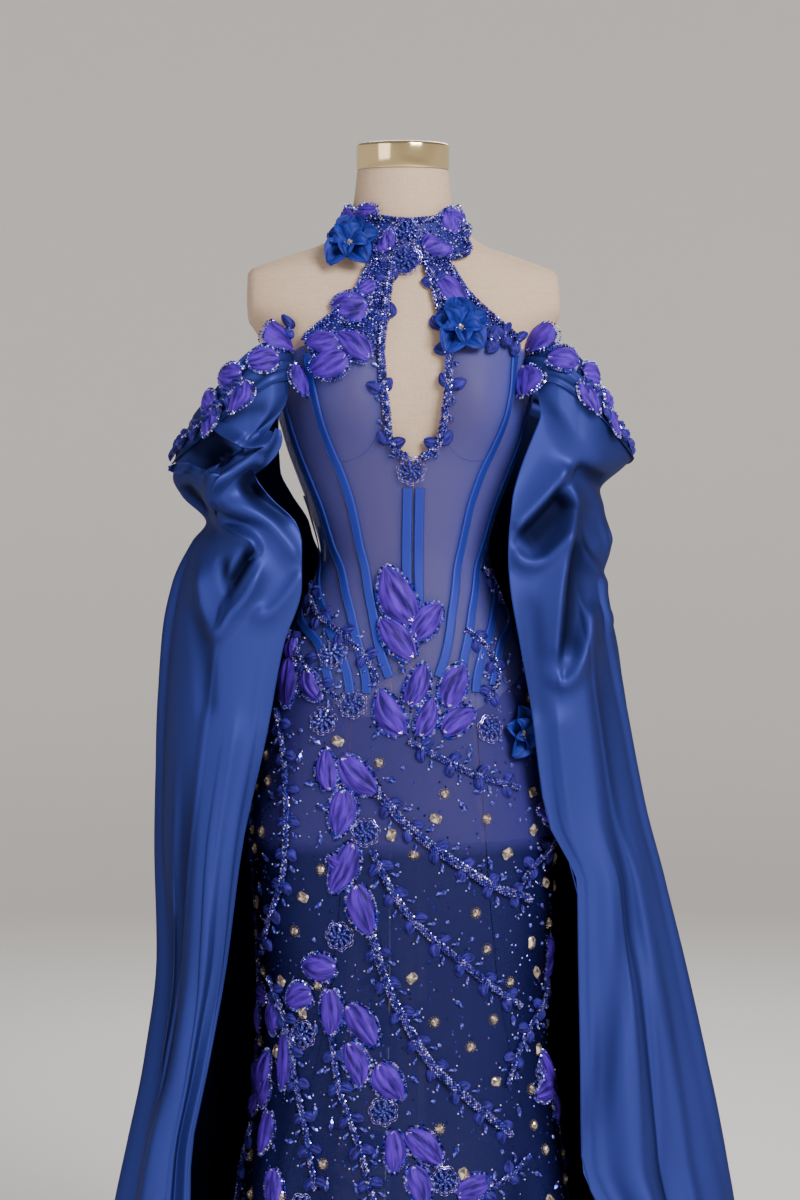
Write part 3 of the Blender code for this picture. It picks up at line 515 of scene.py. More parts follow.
class Pile:
    # grids and rings of points gathered into one mesh
    def __init__(self):
        self.points = []
        self.faces = []
        self.marks = []
        self.count = 0

    def add(self, points, faces, marks=None, flip=False):
        points = np.asarray(points, float).reshape(-1, 3)
        turn = -1 if flip else 1
        self.faces += [tuple(int(i) + self.count for i in face[::turn]) for face in faces]
        self.points.append(points)
        self.marks.append(np.zeros_like(points) if marks is None else marks)
        self.count += len(points)

    def dome(self, outer, marks):
        # a domed grid, closed under its rim by a fan
        rows, columns = outer.shape[:2]
        rim = rimSteps(rows, columns)
        flat = outer.reshape(-1, 3)
        hub = flat[[i for i, j in rim]].mean(axis=0)
        r, k = rows // 2, columns // 2
        a, b, c = outer[r, k], outer[r, k + 1], outer[r + 1, k]
        flip = np.dot(np.cross(b - a, c - a), a - hub) < 0
        faces = gridFaces(rows, columns) + [(rows * columns, j, i) for i, j in rim]
        marks = np.concatenate([marks.reshape(-1, 3), [[0, 0, 0]]])
        self.add(np.concatenate([flat, hub[None]]), faces, marks, flip)

    def grid(self, outer, inner, marks=None):
        # a closed piece of cloth between an outer and an inner grid, the marks of both in a row
        a, b, c = outer[:-1, :-1], outer[:-1, 1:], outer[1:, :-1]
        flip = np.sum(np.cross(b - a, c - a) * (outer - inner)[:-1, :-1]) < 0
        size = outer.shape[0] * outer.shape[1]
        faces = gridFaces(*outer.shape[:2])
        faces += [tuple(i + size for i in face[::-1]) for face in faces]
        faces += [(i, i + size, j + size, j) for i, j in rimSteps(*outer.shape[:2])]
        self.add(np.concatenate([outer.reshape(-1, 3), inner.reshape(-1, 3)]), faces, marks, flip)

    def tube(self, line, radius, sides=6):
        # a closed round tube along a line of points
        line = np.asarray(line, float)
        run = unit(np.gradient(line, axis=0))
        first = unit(np.cross(run, np.where(np.abs(run[:, 2:]) > 0.9, [[1.0, 0, 0]], [[0, 0, 1.0]])))
        second = np.cross(run, first)
        turns = np.linspace(0, 2 * np.pi, sides, endpoint=False)[:, None]
        ring = first[:, None] * np.cos(turns) + second[:, None] * np.sin(turns)
        self.add(line[:, None] + ring * radius, tubeFaces(len(line), sides))

    def build(self, name, finish, soft=60):
        # soft: the angle up to which an edge is smooth, 0 for flat facets
        mesh = bpy.data.meshes.new(name)
        mesh.from_pydata(np.concatenate(self.points).tolist(), [], self.faces)
        mesh.materials.append(finishes[finish])
        marks = np.concatenate(self.marks)
        if marks.any():
            mesh.attributes.new("fold", "FLOAT_VECTOR", "POINT").data.foreach_set("vector", marks.ravel())
        if soft:
            mesh.shade_smooth()
            mesh.set_sharp_from_angle(angle=math.radians(soft))
        return linked(name, mesh)


def wallPiece(name, finish, outer, inner, marks=None):
    pile = Pile()
    pile.grid(outer, inner, marks)
    return pile.build(name, finish)


def rides(piece, node=None):
    if node:
        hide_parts(node)
    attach(piece, "root")


def clothPiece(piece, node, flat, fullness=1.0):
    rides(piece, node)
    piece.data.calc_loop_triangles()
    area = sum(triangle.area for triangle in piece.data.loop_triangles) / 2 * fullness
    area = min(area, flat[0] * flat[1])
    print(f"  {piece.name}: flat {flat[0]} x {flat[1]} m, cloth {area:.4f} m2")


# grounds that motifs are sewn to: u runs to the right and v up, in metres

class Skin:
    # the cloth on the body, about one angle and height
    def __init__(self, angle, height, base=netFace):
        self.angle = float(angle)
        self.height = float(height)
        self.base = base
        step = bodyPoint(self.angle + 1, self.height) - bodyPoint(self.angle - 1, self.height)
        self.degree = float(np.linalg.norm(step)) / 2

    def at(self, u, v, out):
        u, v, out = spread(u, v, out)
        return bodyPoint(self.angle + u / self.degree, self.height + v, self.base + out)


class Plate:
    # a flat ground that stands free of the body
    def __init__(self, centre, facing):
        self.centre = centre
        self.facing = unit(np.asarray(facing, float))
        self.right = unit(np.cross((0.0, 0.0, 1.0), self.facing))

    def at(self, u, v, out):
        u, v, out = (value[..., None] for value in spread(u, v, out))
        return self.centre + u * self.right + v * np.cross(self.facing, self.right) + out * self.facing


def frameOn(ground, u, v, heading=0.0, out=0.0):
    # points on a ground, and a frame at each: along the heading, across it, outward
    u, v = spread(u, v)
    right = unit(ground.at(u + 0.001, v, 0.0) - ground.at(u - 0.001, v, 0.0))
    up = unit(ground.at(u, v + 0.001, 0.0) - ground.at(u, v - 0.001, 0.0))
    outward = unit(np.cross(right, up))
    turn = np.asarray(heading, float)[..., None]
    along = right * np.cos(turn) + np.cross(outward, right) * np.sin(turn)
    return ground.at(u, v, out), framed(along, outward)


def framed(along, outward):
    return np.stack([along, np.cross(outward, along), outward], axis=-1)


def levelFrames(normal):
    return framed(unit(np.cross(np.array([0, 0, 1.0]), normal)), normal)


class Beads:
    # many beads of one shape: places, frames, sizes and colours
    def __init__(self):
        self.rows = []

    def add(self, here, frames, size, tint):
        here = np.asarray(here, float).reshape(-1, 3)
        count = len(here)
        tint = tones[tint] if isinstance(tint, str) else tint
        size = (size,) * 3 if isinstance(size, float) else size
        frames = np.broadcast_to(np.asarray(frames, float).reshape(-1, 3, 3), (count, 3, 3))
        sizes, tints = (np.broadcast_to(np.asarray(value, float), (count, 3)) for value in (size, tint))
        self.rows.append((here, frames, sizes, tints))


def eulers(frames):
    return np.stack([
        np.arctan2(frames[:, 2, 1], frames[:, 2, 2]),
        -np.arcsin(np.clip(frames[:, 2, 0], -1, 1)),
        np.arctan2(frames[:, 1, 0], frames[:, 0, 0]),
    ], axis=-1)


def stoneShape(name, outline, tiers):
    # a cut stone: an outline of corners, drawn in by tiers of (scale, z), each facet a painted lightness,
    # from dark shade to a bright glint
    crown = (1.0, 0.3, 0.12, 0.62, 0.2, 0.92, 0.1, 0.45)
    table = (0.1, 0.6, 0.98, 0.22, 0.75, 0.08, 0.5, 0.88)
    sides = len(outline)
    top = (len(tiers) - 1) * sides
    points = [(x * scale, y * scale, z) for scale, z in tiers for x, y in outline]
    points.append((0.0, 0.0, tiers[-1][1] - 0.03))
    faces = [tuple(range(sides))[::-1]] + gridFaces(len(tiers), sides, True)
    faces += [(top + k, top + (k + 1) % sides, top + sides) for k in range(sides)]
    glints = [0.1] + [crown[(k + 3 * r) % 8] for r in range(len(tiers) - 1) for k in range(sides)]
    glints += [table[k % 8] for k in range(sides)]
    pile = Pile()
    pile.add(points, faces)
    stone = pile.build(name, "crystal", 0)
    stone.data.attributes.new("glint", "FLOAT", "FACE").data.foreach_set("value", glints)
    return stone


def beadShapes():
    # each shape is 1 m long along x
    mesh = bpy.data.meshes.new("round")
    bm = bmesh.new()
    bmesh.ops.create_icosphere(bm, subdivisions=1, radius=0.5)
    bm.to_mesh(mesh)
    bm.free()
    mesh.shade_smooth()
    pile = Pile()
    pile.add([(0.5, 0, 0), (0, 0.5, 0), (-0.5, 0, 0), (0, -0.5, 0), (0, 0, 0.5), (0, 0, -0.5)],
             [face for k in range(4) for face in ((k, (k + 1) % 4, 4), ((k + 1) % 4, k, 5))])
    seed = pile.build("shape_seed", "bead")
    seed.data.shade_smooth()
    turns = np.linspace(0, 2 * np.pi, 5, endpoint=False)
    pile = Pile()
    pile.add([(x, 0.5 * np.cos(t), 0.5 * np.sin(t)) for x in (-0.5, 0.5) for t in turns], tubeFaces(2, 5))
    turns = np.linspace(0, 2 * np.pi, 8, endpoint=False)
    octagon = [(0.5 * np.cos(t), 0.5 * np.sin(t)) for t in turns]
    emerald = [(0.5, -0.3), (0.5, 0.3), (0.34, 0.5), (-0.34, 0.5)]
    emerald += [(-0.5, 0.3), (-0.5, -0.3), (-0.34, -0.5), (0.34, -0.5)]
    boat = [(0.5, 0.0), (0.22, 0.42), (-0.22, 0.42), (-0.5, 0.0), (-0.22, -0.42), (0.22, -0.42)]
    tiers = ((0.92, 0.0), (1.0, 0.14), (0.78, 0.34), (0.5, 0.48))
    return {
        "round": linked("shape_round", mesh),
        "seed": seed,
        "bugle": pile.build("shape_bugle", "bead"),
        "cushion": stoneShape("shape_cushion", octagon, tiers),
        "emerald": stoneShape("shape_emerald", emerald, tiers),
        "navette": stoneShape("shape_navette", boat, ((0.9, 0.0), (1.0, 0.16), (0.5, 0.5))),
    }


def beadTree():
    # puts one shape on every point, turned, sized and coloured by the point's attributes
    tree = bpy.data.node_groups.new("BeadsOnPoints", "GeometryNodeTree")
    for name, kind in (("Geometry", "Geometry"), ("Shape", "Object"), ("Finish", "Material"),
                       ("Variation", "Float"), ("Seed", "Int")):
        tree.interface.new_socket(name, in_out="INPUT", socket_type=f"NodeSocket{kind}")
    tree.interface.new_socket("Geometry", in_out="OUTPUT", socket_type="NodeSocketGeometry")

    def node(kind, inputs, output=0, **settings):
        made = tree.nodes.new(kind)
        for key, value in settings.items():
            setattr(made, key, value)
        for key, value in inputs.items():
            if isinstance(value, bpy.types.NodeSocket):
                tree.links.new(value, made.inputs[key])
            else:
                made.inputs[key].default_value = value
        return made.outputs[output] if made.outputs else None

    given = tree.nodes.new("NodeGroupInput").outputs
    size, facing = (node("GeometryNodeInputNamedAttribute", {"Name": name}, data_type="FLOAT_VECTOR")
                    for name in ("size", "facing"))
    low, high = (node("ShaderNodeMath", {0: 1.0, 1: given["Variation"]}, operation=kind)
                 for kind in ("SUBTRACT", "ADD"))
    # inputs 2 and 3 and output 1 of a random value are its plain numbers
    vary = node("FunctionNodeRandomValue", {2: low, 3: high, "Seed": given["Seed"]}, 1, data_type="FLOAT")
    beads = node("GeometryNodeInstanceOnPoints", {
        "Points": given["Geometry"],
        "Instance": node("GeometryNodeObjectInfo", {"Object": given["Shape"]}, "Geometry"),
        "Rotation": node("FunctionNodeEulerToRotation", {0: facing}),
        "Scale": node("ShaderNodeVectorMath", {0: size, "Scale": vary}, operation="SCALE"),
    })
    beads = node("GeometryNodeRealizeInstances", {0: beads})
    beads = node("GeometryNodeSetMaterial", {"Geometry": beads, "Material": given["Finish"]})
    node("NodeGroupOutput", {0: beads})
    return tree


shapes = beadShapes()
tree = beadTree()


def beadPiece(name, beads, shape, finish):
    here, frames, sizes, tints = (np.concatenate(part) for part in zip(*beads.rows))
    mesh = bpy.data.meshes.new(name + "_points")
    mesh.from_pydata(here.tolist(), [], [])
    tints = np.column_stack([tints, np.ones(len(tints))])
    for label, kind, field, values in (
            ("facing", "FLOAT_VECTOR", "vector", eulers(frames)),
            ("size", "FLOAT_VECTOR", "vector", sizes),
            ("tint", "FLOAT_COLOR", "color", tints)):
        mesh.attributes.new(label, kind, "POINT").data.foreach_set(field, values.ravel())
    holder = linked(name + "_points", mesh)
    maker = holder.modifiers.new("Beads", "NODES")
    values = {"Shape": shapes[shape], "Finish": finishes[finish], "Variation": 0.06, "Seed": 3}
    maker.node_group = tree
    for item in tree.interface.items_tree:
        if item.in_out == "INPUT" and item.name in values:
            maker[item.identifier] = values[item.name]
    made = bpy.data.meshes.new_from_object(holder.evaluated_get(bpy.context.evaluated_depsgraph_get()))
    made.name = name
    bpy.data.objects.remove(holder, do_unlink=True)
    made.calc_loop_triangles()
    print(f"  {name}: {len(here)} beads, {len(made.loop_triangles)} triangles")
    rides(linked(name, made))


# the dress form and its stand

formLook = {"bottom": 0.720, "top": 1.562, "inset": 0.0032, "columns": 72, "pipe": 0.0011}
capLook = {"radius": 0.0595, "base": 1.5623, "height": 0.032, "dome": 0.004}
standLook = {"pole": 0.0175, "base": 0.170, "thick": 0.022}


def formShape():
    heights = np.concatenate([np.linspace(formLook["bottom"], 1.34, 40), np.linspace(1.35, 1.47, 22),
                              np.linspace(1.478, formLook["top"], 12)])
    angles = np.linspace(-180, 180, formLook["columns"], endpoint=False)
    inset = formLook["inset"] * (1 - smooth(heights, 1.28, 1.34)) + 0.00001
    rings = bodyPoint(angles[None, :], heights[:, None], -inset[:, None])
    pile = Pile()
    pile.add(rings, tubeFaces(*rings.shape[:2]))
    # the piped seam of the cover, down the back
    pile.tube(bodyPoint(180, np.linspace(1.30, formLook["top"] - 0.002, 50), 0.0002), formLook["pipe"])
    rides(pile.build("form_cover", "linen"), "form_torso")


def lathe(name, finish, profile, y=0.0, steps=64, soft=50, closed=True):
    # profile runs from the axis at the top, down the outside, to the axis below
    turns = np.linspace(0, 2 * np.pi, steps, endpoint=False)
    rings = profile[1:-1] if closed else profile[1:]
    points = [(0, y, profile[0][1])]
    points += [(r * math.cos(t), y + r * math.sin(t), z) for r, z in rings for t in turns]
    faces = [(0, 1 + k, 1 + (k + 1) % steps) for k in range(steps)]
    faces += [(a + 1, d + 1, c + 1, b + 1) for a, b, c, d in gridFaces(len(rings), steps, True)]
    if closed:
        last = len(points) - steps
        faces += [(last + k, len(points), last + (k + 1) % steps) for k in range(steps)]
        points.append((0, y, profile[-1][1]))
    pile = Pile()
    pile.add(points, faces)
    return pile.build(name, finish, soft)


def standShape():
    base = capLook["base"]
    top = base + capLook["height"]
    r = capLook["radius"]
    edge = [(r - 0.003 + 0.003 * math.sin(a), top - 0.003 + 0.004 * math.cos(a))
            for a in np.linspace(0.1, math.pi / 2, 6)]
    cap = [(0, top + capLook["dome"]), (0.015, top + 0.0037), (0.03, top + 0.0032), (0.045, top + 0.0021)]
    cap += edge + [(r, base + 0.002), (r - 0.001, base), (0, base)]
    behind = float(figure.at(formLook["top"], "centre"))
    rides(lathe("neck_cap_gold", "gold", cap, behind), "neck_cap")
    pole = standLook["pole"]
    thick = standLook["thick"]
    stem = [(0, 0.7197), (pole, 0.7197), (pole, thick + 0.06), (pole + 0.004, thick + 0.058)]
    stem += [(pole + 0.004, thick + 0.0005), (0, thick + 0.0005)]
    rides(lathe("stand_stem", "steel", stem, steps=40), "stand_pole")
    wide = standLook["base"]
    foot = [(0, thick), (pole + 0.01, thick), (wide - 0.02, thick - 0.008), (wide - 0.008, thick - 0.011)]
    foot += [(wide - 0.002, 0.007), (wide, 0.004), (wide - 0.001, 0.0), (0, 0)]
    rides(lathe("stand_foot", "steel", foot, steps=72), "stand_base")


# the corset

seams = SmoothTable(
    "height princess second third back",
    (0.85, 9, 20, 26, 150), (0.912, 10, 21, 29, 150), (0.95, 15, 25, 35, 150), (1.0, 22, 35, 54, 150),
    (1.05, 31, 50, 82, 150), (1.09, 37, 63, 95, 150), (1.14, 38, 65, 101, 151), (1.177, 40, 67, 105, 152),
    (1.215, 44, 69, 108, 152), (1.25, 47, 71, 110, 152), (1.285, 48, 72, 112, 152),
    (1.34, 47, 72, 114, 152),
)
fourthBone = SmoothTable("height angle", (0.9, 36), (0.963, 50), (1.006, 90), (1.06, 106), (1.12, 116))
basque = SmoothTable(
    "angle height", (0, 0.862), (30, 0.885), (60, 0.92), (90, 0.94), (135, 0.93), (180, 0.915))
keyhole = SmoothTable(
    "height halfWidth",
    (1197, 0.3), (1204, 16.5), (1225, 30), (1255, 35.5), (1290, 40), (1320, 40),
    (1351, 35.5), (1390, 28), (1440, 17),
    unit=1000,
)
halterEdge = SmoothTable(
    "height halfWidth", (1.342, 0.136), (1.351, 0.128), (1.37, 0.105), (1.403, 0.072), (1.44, 0.052))
# each panel: its seams, the top height at both, the flat cut, and the columns
corsetPanels = {
    "centre_front": ("front", "princess", 1.342, 1.336, (0.105, 0.5), 12),
    "side_front": ("princess", "second", 1.336, 1.318, (0.085, 0.47), 8),
    "side": ("second", "third", 1.318, 1.298, (0.11, 0.44), 8),
    "hip": ("third", "back", 1.298, 1.27, (0.29, 0.41), 22),
    "centre_back": ("back", "centre", 1.27, 1.262, (0.1, 0.37), 10),
}
# strips of satin on the seams: the height from and to
bones = {
    "centre": (0.972, 1.16),
    "princess": (0.925, 1.325),
    "second": (0.905, 1.31),
    "third": (0.905, 1.15),
    "fourth": (0.912, 1.11),
}
boneLook = {"width": 0.0122, "thick": 0.0013, "lift": 0.0012, "stitch": 0.0032, "inset": 0.0016}


def seamAngle(seam, height):
    gap = np.degrees(cloth["gap"] / figure.at(height, "front"))
    if seam == "front":
        held = np.maximum(frontAngle(keyhole.at(height, "halfWidth"), height), gap)
        return np.where(height <= 1.197, gap, held)
    if seam == "centre":
        return np.full_like(height, 180.0)
    return seams.at(height, seam)


def panelAngle(panel, share, height):
    gap = np.degrees(cloth["gap"] / figure.at(height, "front"))
    first = seamAngle(panel[0], height) + (0 if panel[0] == "front" else gap)
    return mix(first, seamAngle(panel[1], height) - gap, share)


def panelBottom(panel, share):
    height = np.full_like(share, 0.9)
    for step in range(40):
        height = mix(height, basque.at(panelAngle(panel, share, height), "height"), 0.6)
    return height


def corsetShapes():
    for name, panel in corsetPanels.items():
        topFirst, topLast, flat, columns = panel[2:]
        share = np.linspace(0, 1, columns + 1)
        low = panelBottom(panel, share) + cloth["gap"] / 2
        height = mix(low, mix(topFirst, topLast, share), np.linspace(0, 1, 41)[:, None])
        angle = panelAngle(panel, share, height)
        for side, sign in twoSides:
            pull = np.zeros_like(height)
            for k in range(5):
                # slack between the bones, mostly across the waist
                level = chance.uniform(0.93, 1.28)
                slope = chance.uniform(-0.05, 0.05)
                pull += 0.0009 * bump(height - level - slope * (share - 0.5), 0.012) * np.sin(np.pi * share)
            piece = netPiece(f"corset_{name}_{side}", "corsetNet", sign * angle, height, pull)
            clothPiece(piece, f"{name}_{side}", flat)


def netPiece(name, finish, angle, height, lift):
    outer, inner = (bodyPoint(angle, height, netFace - thick + lift) for thick in (0, 0.0007))
    return wallPiece(name, finish, outer, inner)


stitches = Beads()


def stripOn(line, width, thick, lift, crown=0.0001):
    # a satin strip along a line of (angle, height), with rolled edges
    normal = bodyNormal(line[:, 0], line[:, 1])
    middle = barePoint(line[:, 0], line[:, 1])
    run = unit(np.gradient(middle, axis=0))
    across = unit(np.cross(normal, run))
    steps = np.array([-1, -0.86, -0.5, 0, 0.5, 0.86, 1])
    rise = np.array([0.25, 1, 1, 1, 1, 1, 0.25]) * thick + crown * (1 - steps**2)
    place = middle[:, None] + across[:, None] * steps[:, None] * width / 2
    outer = place + normal[:, None] * (lift + rise[:, None])
    return outer, place + normal[:, None] * lift, middle, run, across, normal


def evenSteps(middle, count, left):
    # points evenly along a line, and the numbers of its points before them
    at = np.linspace(0.5, len(middle) - left, count)
    i = at.astype(int)
    return middle[i] + (middle[i + 1] - middle[i]) * (at - i)[:, None], i


def boneShapes():
    width = boneLook["width"]
    lift = netFace + boneLook["lift"]
    for name, (low, high) in bones.items():
        height = np.linspace(low, high, 60)
        if name == "centre":
            angle = np.degrees((width / 2 + 0.0013) / figure.at(height, "halfWidth"))
        elif name == "fourth":
            angle = fourthBone.at(height, "angle")
        else:
            angle = seams.at(height, name)
        for side, sign in twoSides:
            line = np.stack([sign * angle, height], axis=-1)
            outer, inner, middle, run, across, normal = stripOn(line, width, boneLook["thick"], lift)
            piece = wallPiece(f"bone_{name}_{side}", "channelSatin", outer, inner)
            length = float(np.sum(np.linalg.norm(np.diff(middle, axis=0), axis=1)))
            clothPiece(piece, f"channel_{name}_{side}", (0.017, round(length + 0.012, 3)))
            here, i = evenSteps(middle, int(length / boneLook["stitch"]), 1.5)
            for edge in (-1, 1):
                off = edge * (width / 2 - boneLook["inset"])
                spots = here + across[i] * off + normal[i] * (lift + boneLook["thick"] + 0.0001)
                stitches.add(spots, framed(run[i], normal[i]), (0.0024, 0.0005, 0.0005), (0.32, 0.4, 0.95))


zipLook = {"low": 0.800, "high": 1.255, "width": 0.016, "tooth": 0.0026}
teeth = Beads()


def zipShape():
    height = np.linspace(zipLook["low"], zipLook["high"], 60)
    line = np.stack([np.full_like(height, 180.0), height], axis=-1)
    lift = netFace + 0.0006
    outer, inner, middle, run, across, normal = stripOn(line, zipLook["width"], 0.0008, lift, 0.0)
    piece = wallPiece("zip_tape", "channelSatin", outer, inner)
    clothPiece(piece, "back_zip", (0.018, 0.47))
    count = int((zipLook["high"] - zipLook["low"]) / zipLook["tooth"])
    here, i = evenSteps(middle, count, 2.5)
    aside = (0.0006 * (-1.0) ** np.arange(count))[:, None]
    here = here + normal[i] * (netFace + 0.0019) + across[i] * aside
    teeth.add(here, framed(across[i], normal[i]), (0.0042, 0.0013, 0.0012), (0.16, 0.18, 0.5))
    pull = Pile()
    top = middle[-4] + normal[-4] * (netFace + 0.0035)
    for low, high, half in ((-0.004, 0.005, 0.0042), (-0.026, -0.004, 0.003)):
        flat = np.array([[top + run[-4] * z + across[-4] * x for x in (-half, half)] for z in (low, high)])
        pull.grid(flat + normal[-4] * 0.0012, flat - normal[-4] * 0.001)
    rides(pull.build("zip_pull", "zipMetal", 0))


# the skirt

gores = {
    # first and last column of the half round, and the flat cut of each gore
    "skirt_front": (-6, 6, 0.62, 0.92),
    "skirt_side_R": (6, 13, 0.4, 0.96),
    "skirt_back_R": (13, 18, 0.48, 1.0),
    "skirt_side_L": (6, 13, 0.4, 0.96),
    "skirt_back_L": (13, 18, 0.48, 1.0),
}


def skirtColumns():
    counts = (2, 2, 2, 9, 3)
    found = []
    for panel, count in zip(corsetPanels.values(), counts):
        share = np.arange(count + (count == 3)) / count
        low = panelBottom(panel, share)
        found += list(zip(panelAngle(panel, share, low), low))
    found[0] = (0.0, found[0][1])
    return np.array(found)


def skirtShapes():
    half = skirtColumns()
    index = np.arange(len(half), dtype=float)
    for name, (first, last, *flat) in gores.items():
        at = np.linspace(first, last, (last - first) * 5 + 1)
        turn = 1 if name == "skirt_front" else (-1 if name.endswith("L") else 1)
        sign = np.where(at < 0, -1, 1) * turn
        steps = np.abs(at)
        angle = np.interp(steps, index, half[:, 0]) * sign
        low = np.interp(steps, index, half[:, 1])
        even = steps * 180 / (len(half) - 1) * sign
        part = np.linspace(0, 1, 84)[:, None]
        height = mix(low - cloth["gap"] / 2, cloth["hem"], part)
        nudge = np.zeros_like(at)
        nudge[0] = turn
        nudge[-1] = -turn
        gap = np.degrees(cloth["gap"] / figure.at(height, "front"))
        here = mix(angle, even, smooth(part, 0.15, 0.9)) + nudge * gap
        # a loose net: faint soft drapes that lengthen towards the hem
        ripple = np.zeros_like(here)
        for k in range(26):
            middle = chance.uniform(-180, 180)
            wide = chance.uniform(5, 11)
            start = chance.uniform(0.35, 0.75)
            drape = bump(wrapTurn(here - middle), wide) * (1 - smooth(height, 0.0, start))
            ripple += chance.uniform(-0.004, 0.0045) * drape
        piece = netPiece(name + "_net", "skirtNet", here, height, np.where(height < 0.76, ripple, 0))
        clothPiece(piece, name, tuple(flat))
    pile = Pile()
    pile.tube(bodyPoint(np.linspace(-180, 180, 241), cloth["hem"] + 0.0035, netFace), 0.0012, 5)
    rides(pile.build("skirt_hem_cord", "satin"))


# halter and collar

collarEdges = SmoothTable(
    "angle low high",
    (0, 1.438, 1.496), (26, 1.448, 1.499), (50, 1.472, 1.504), (90, 1.487, 1.516), (135, 1.482, 1.514),
    (180, 1.472, 1.51),
)


def halterGround(share, part, sign, out):
    height = mix(1.3425, 1.4445, part)
    x = mix(keyhole.at(height, "halfWidth"), halterEdge.at(height, "halfWidth"), share)
    return bodyPoint(sign * frontAngle(x, height), height, out)


def halterShapes():
    share = np.linspace(0, 1, 19)[None, :]
    part = np.linspace(0, 1, 25)[:, None]
    swell = 0.0012 * np.sin(share * 9 + part * 5) * np.sin(np.pi * share)
    for side, sign in twoSides:
        outer, inner = (halterGround(share, part, sign, out + swell)
                        for out in (netFace + 0.001, cloth["ease"]))
        piece = wallPiece(f"halter_strap_{side}", "base", outer, inner)
        clothPiece(piece, f"halter_{side}", (0.11, 0.125))


def collarPoint(angle, part, out):
    low = collarEdges.at(np.abs(angle), "low")
    high = collarEdges.at(np.abs(angle), "high")
    return bodyPoint(angle, mix(low, high, part), out)


def collarShape():
    angle = np.linspace(-178.5, 178.5, 140)[None, :]
    part = np.linspace(0, 1, 9)[:, None]
    roll = 0.0028 * np.sin(np.pi * part) ** 0.5
    outer = collarPoint(angle, part, 0.0031 + roll)
    piece = wallPiece("collar_band", "base", outer, collarPoint(angle, part, 0.0016 + roll * 0.6))
    clothPiece(piece, "collar", (0.47, 0.062))


# the off-shoulder bands

bandLook = {"width": 0.058, "lean": math.radians(24), "lift": 0.0056}
bandLine = SmoothTable(
    "part x y z",
    (0.0, 0.14, -0.098, 1.326), (0.12, 0.178, -0.108, 1.314), (0.25, 0.215, -0.1, 1.287),
    (0.38, 0.25, -0.072, 1.251), (0.5, 0.278, -0.022, 1.22), (0.62, 0.28, 0.03, 1.214),
    (0.74, 0.257, 0.074, 1.23), (0.87, 0.215, 0.1, 1.262), (1.0, 0.15, 0.098, 1.294),
)


def bandFrame(part, sign):
    def at(p):
        return np.stack([bandLine.at(p, axis) for axis in "xyz"], axis=-1)

    here = at(part)
    ahead = unit(at(part + 0.01) - at(part - 0.01))
    away = unit((here - [0.17, 0, 0]) * [1, 1, 0])
    up = np.array([0, 0, math.cos(bandLook["lean"])]) - away * math.sin(bandLook["lean"])
    up = unit(up - ahead * np.sum(ahead * up, axis=-1, keepdims=True))
    side = np.array([sign, 1, 1])
    return here * side, up * side


def bandPoint(part, across, sign):
    part, across = spread(part, across)
    here, up = bandFrame(part, sign)
    free = here + up * across[..., None] * bandLook["width"] / 2
    frontEnd = bodyPoint(sign * (57 + 2 * across), 1.316 + across * 0.026, bandLook["lift"])
    backEnd = bodyPoint(sign * (126 - 3 * across), 1.292 + across * 0.026, bandLook["lift"])
    held = mix(frontEnd, free, smooth(part, 0.0, 0.16)[..., None])
    return mix(held, backEnd, smooth(part, 0.86, 1.0)[..., None])


def bandNormal(part, across, sign):
    along = bandPoint(part + 0.01, across, sign) - bandPoint(part - 0.01, across, sign)
    up = bandPoint(part, across + 0.2, sign) - bandPoint(part, across - 0.2, sign)
    return unit(np.cross(along, up)) * sign


class Strap:
    # the band's outer face about one place, for what is sewn on it
    def __init__(self, sign, part, across, base):
        self.sign = sign
        self.part = part
        self.across = across
        self.base = base
        step = bandPoint(part + 0.01, across, sign) - bandPoint(part - 0.01, across, sign)
        self.length = float(np.linalg.norm(step)) / 0.02

    def at(self, u, v, out):
        u, v, out = spread(u, v, out)
        part = np.clip(self.part + self.sign * u / self.length, 0, 1)
        place = (part, self.across + v / (bandLook["width"] / 2), self.sign)
        return bandPoint(*place) + bandNormal(*place) * (self.base + out)[..., None]


bandPleats = (
    # across the band: height of the pleat's ridge, how it slopes, how high it stands
    (-0.55, 0.3, 0.002), (-0.15, -0.25, 0.0026), (0.25, 0.22, 0.0022), (0.62, -0.18, 0.0018),
)


def bandShapes():
    part = np.linspace(0, 1, 130)[:, None]
    across = np.linspace(-1, 1, 30)[None, :]
    for side, sign in twoSides:
        rise = 0.0012 + np.zeros((130, 30))
        for middle, slope, height in bandPleats:
            wave = 0.12 * np.sin(part * 11 + middle * 7 + sign)
            rise += height * bump(across - middle - slope * (part - 0.5) - wave, 0.26)
        rise = (rise + 0.0012 * (np.abs(across) > 0.9))[..., None]
        base = bandPoint(part, across, sign)
        normal = bandNormal(part, across, sign)
        faces = (base + normal * lift for lift in (rise, rise - 0.0011))
        piece = wallPiece(f"arm_band_satin_{side}", "satin", *faces)
        clothPiece(piece, f"arm_band_{side}", (0.115, 0.47),
                   1.3)


formShape()
standShape()
corsetShapes()
boneShapes()
zipShape()
skirtShapes()
halterShapes()
collarShape()
bandShapes()
print("form, corset, skirt, collar and bands built")


# the cape sleeves

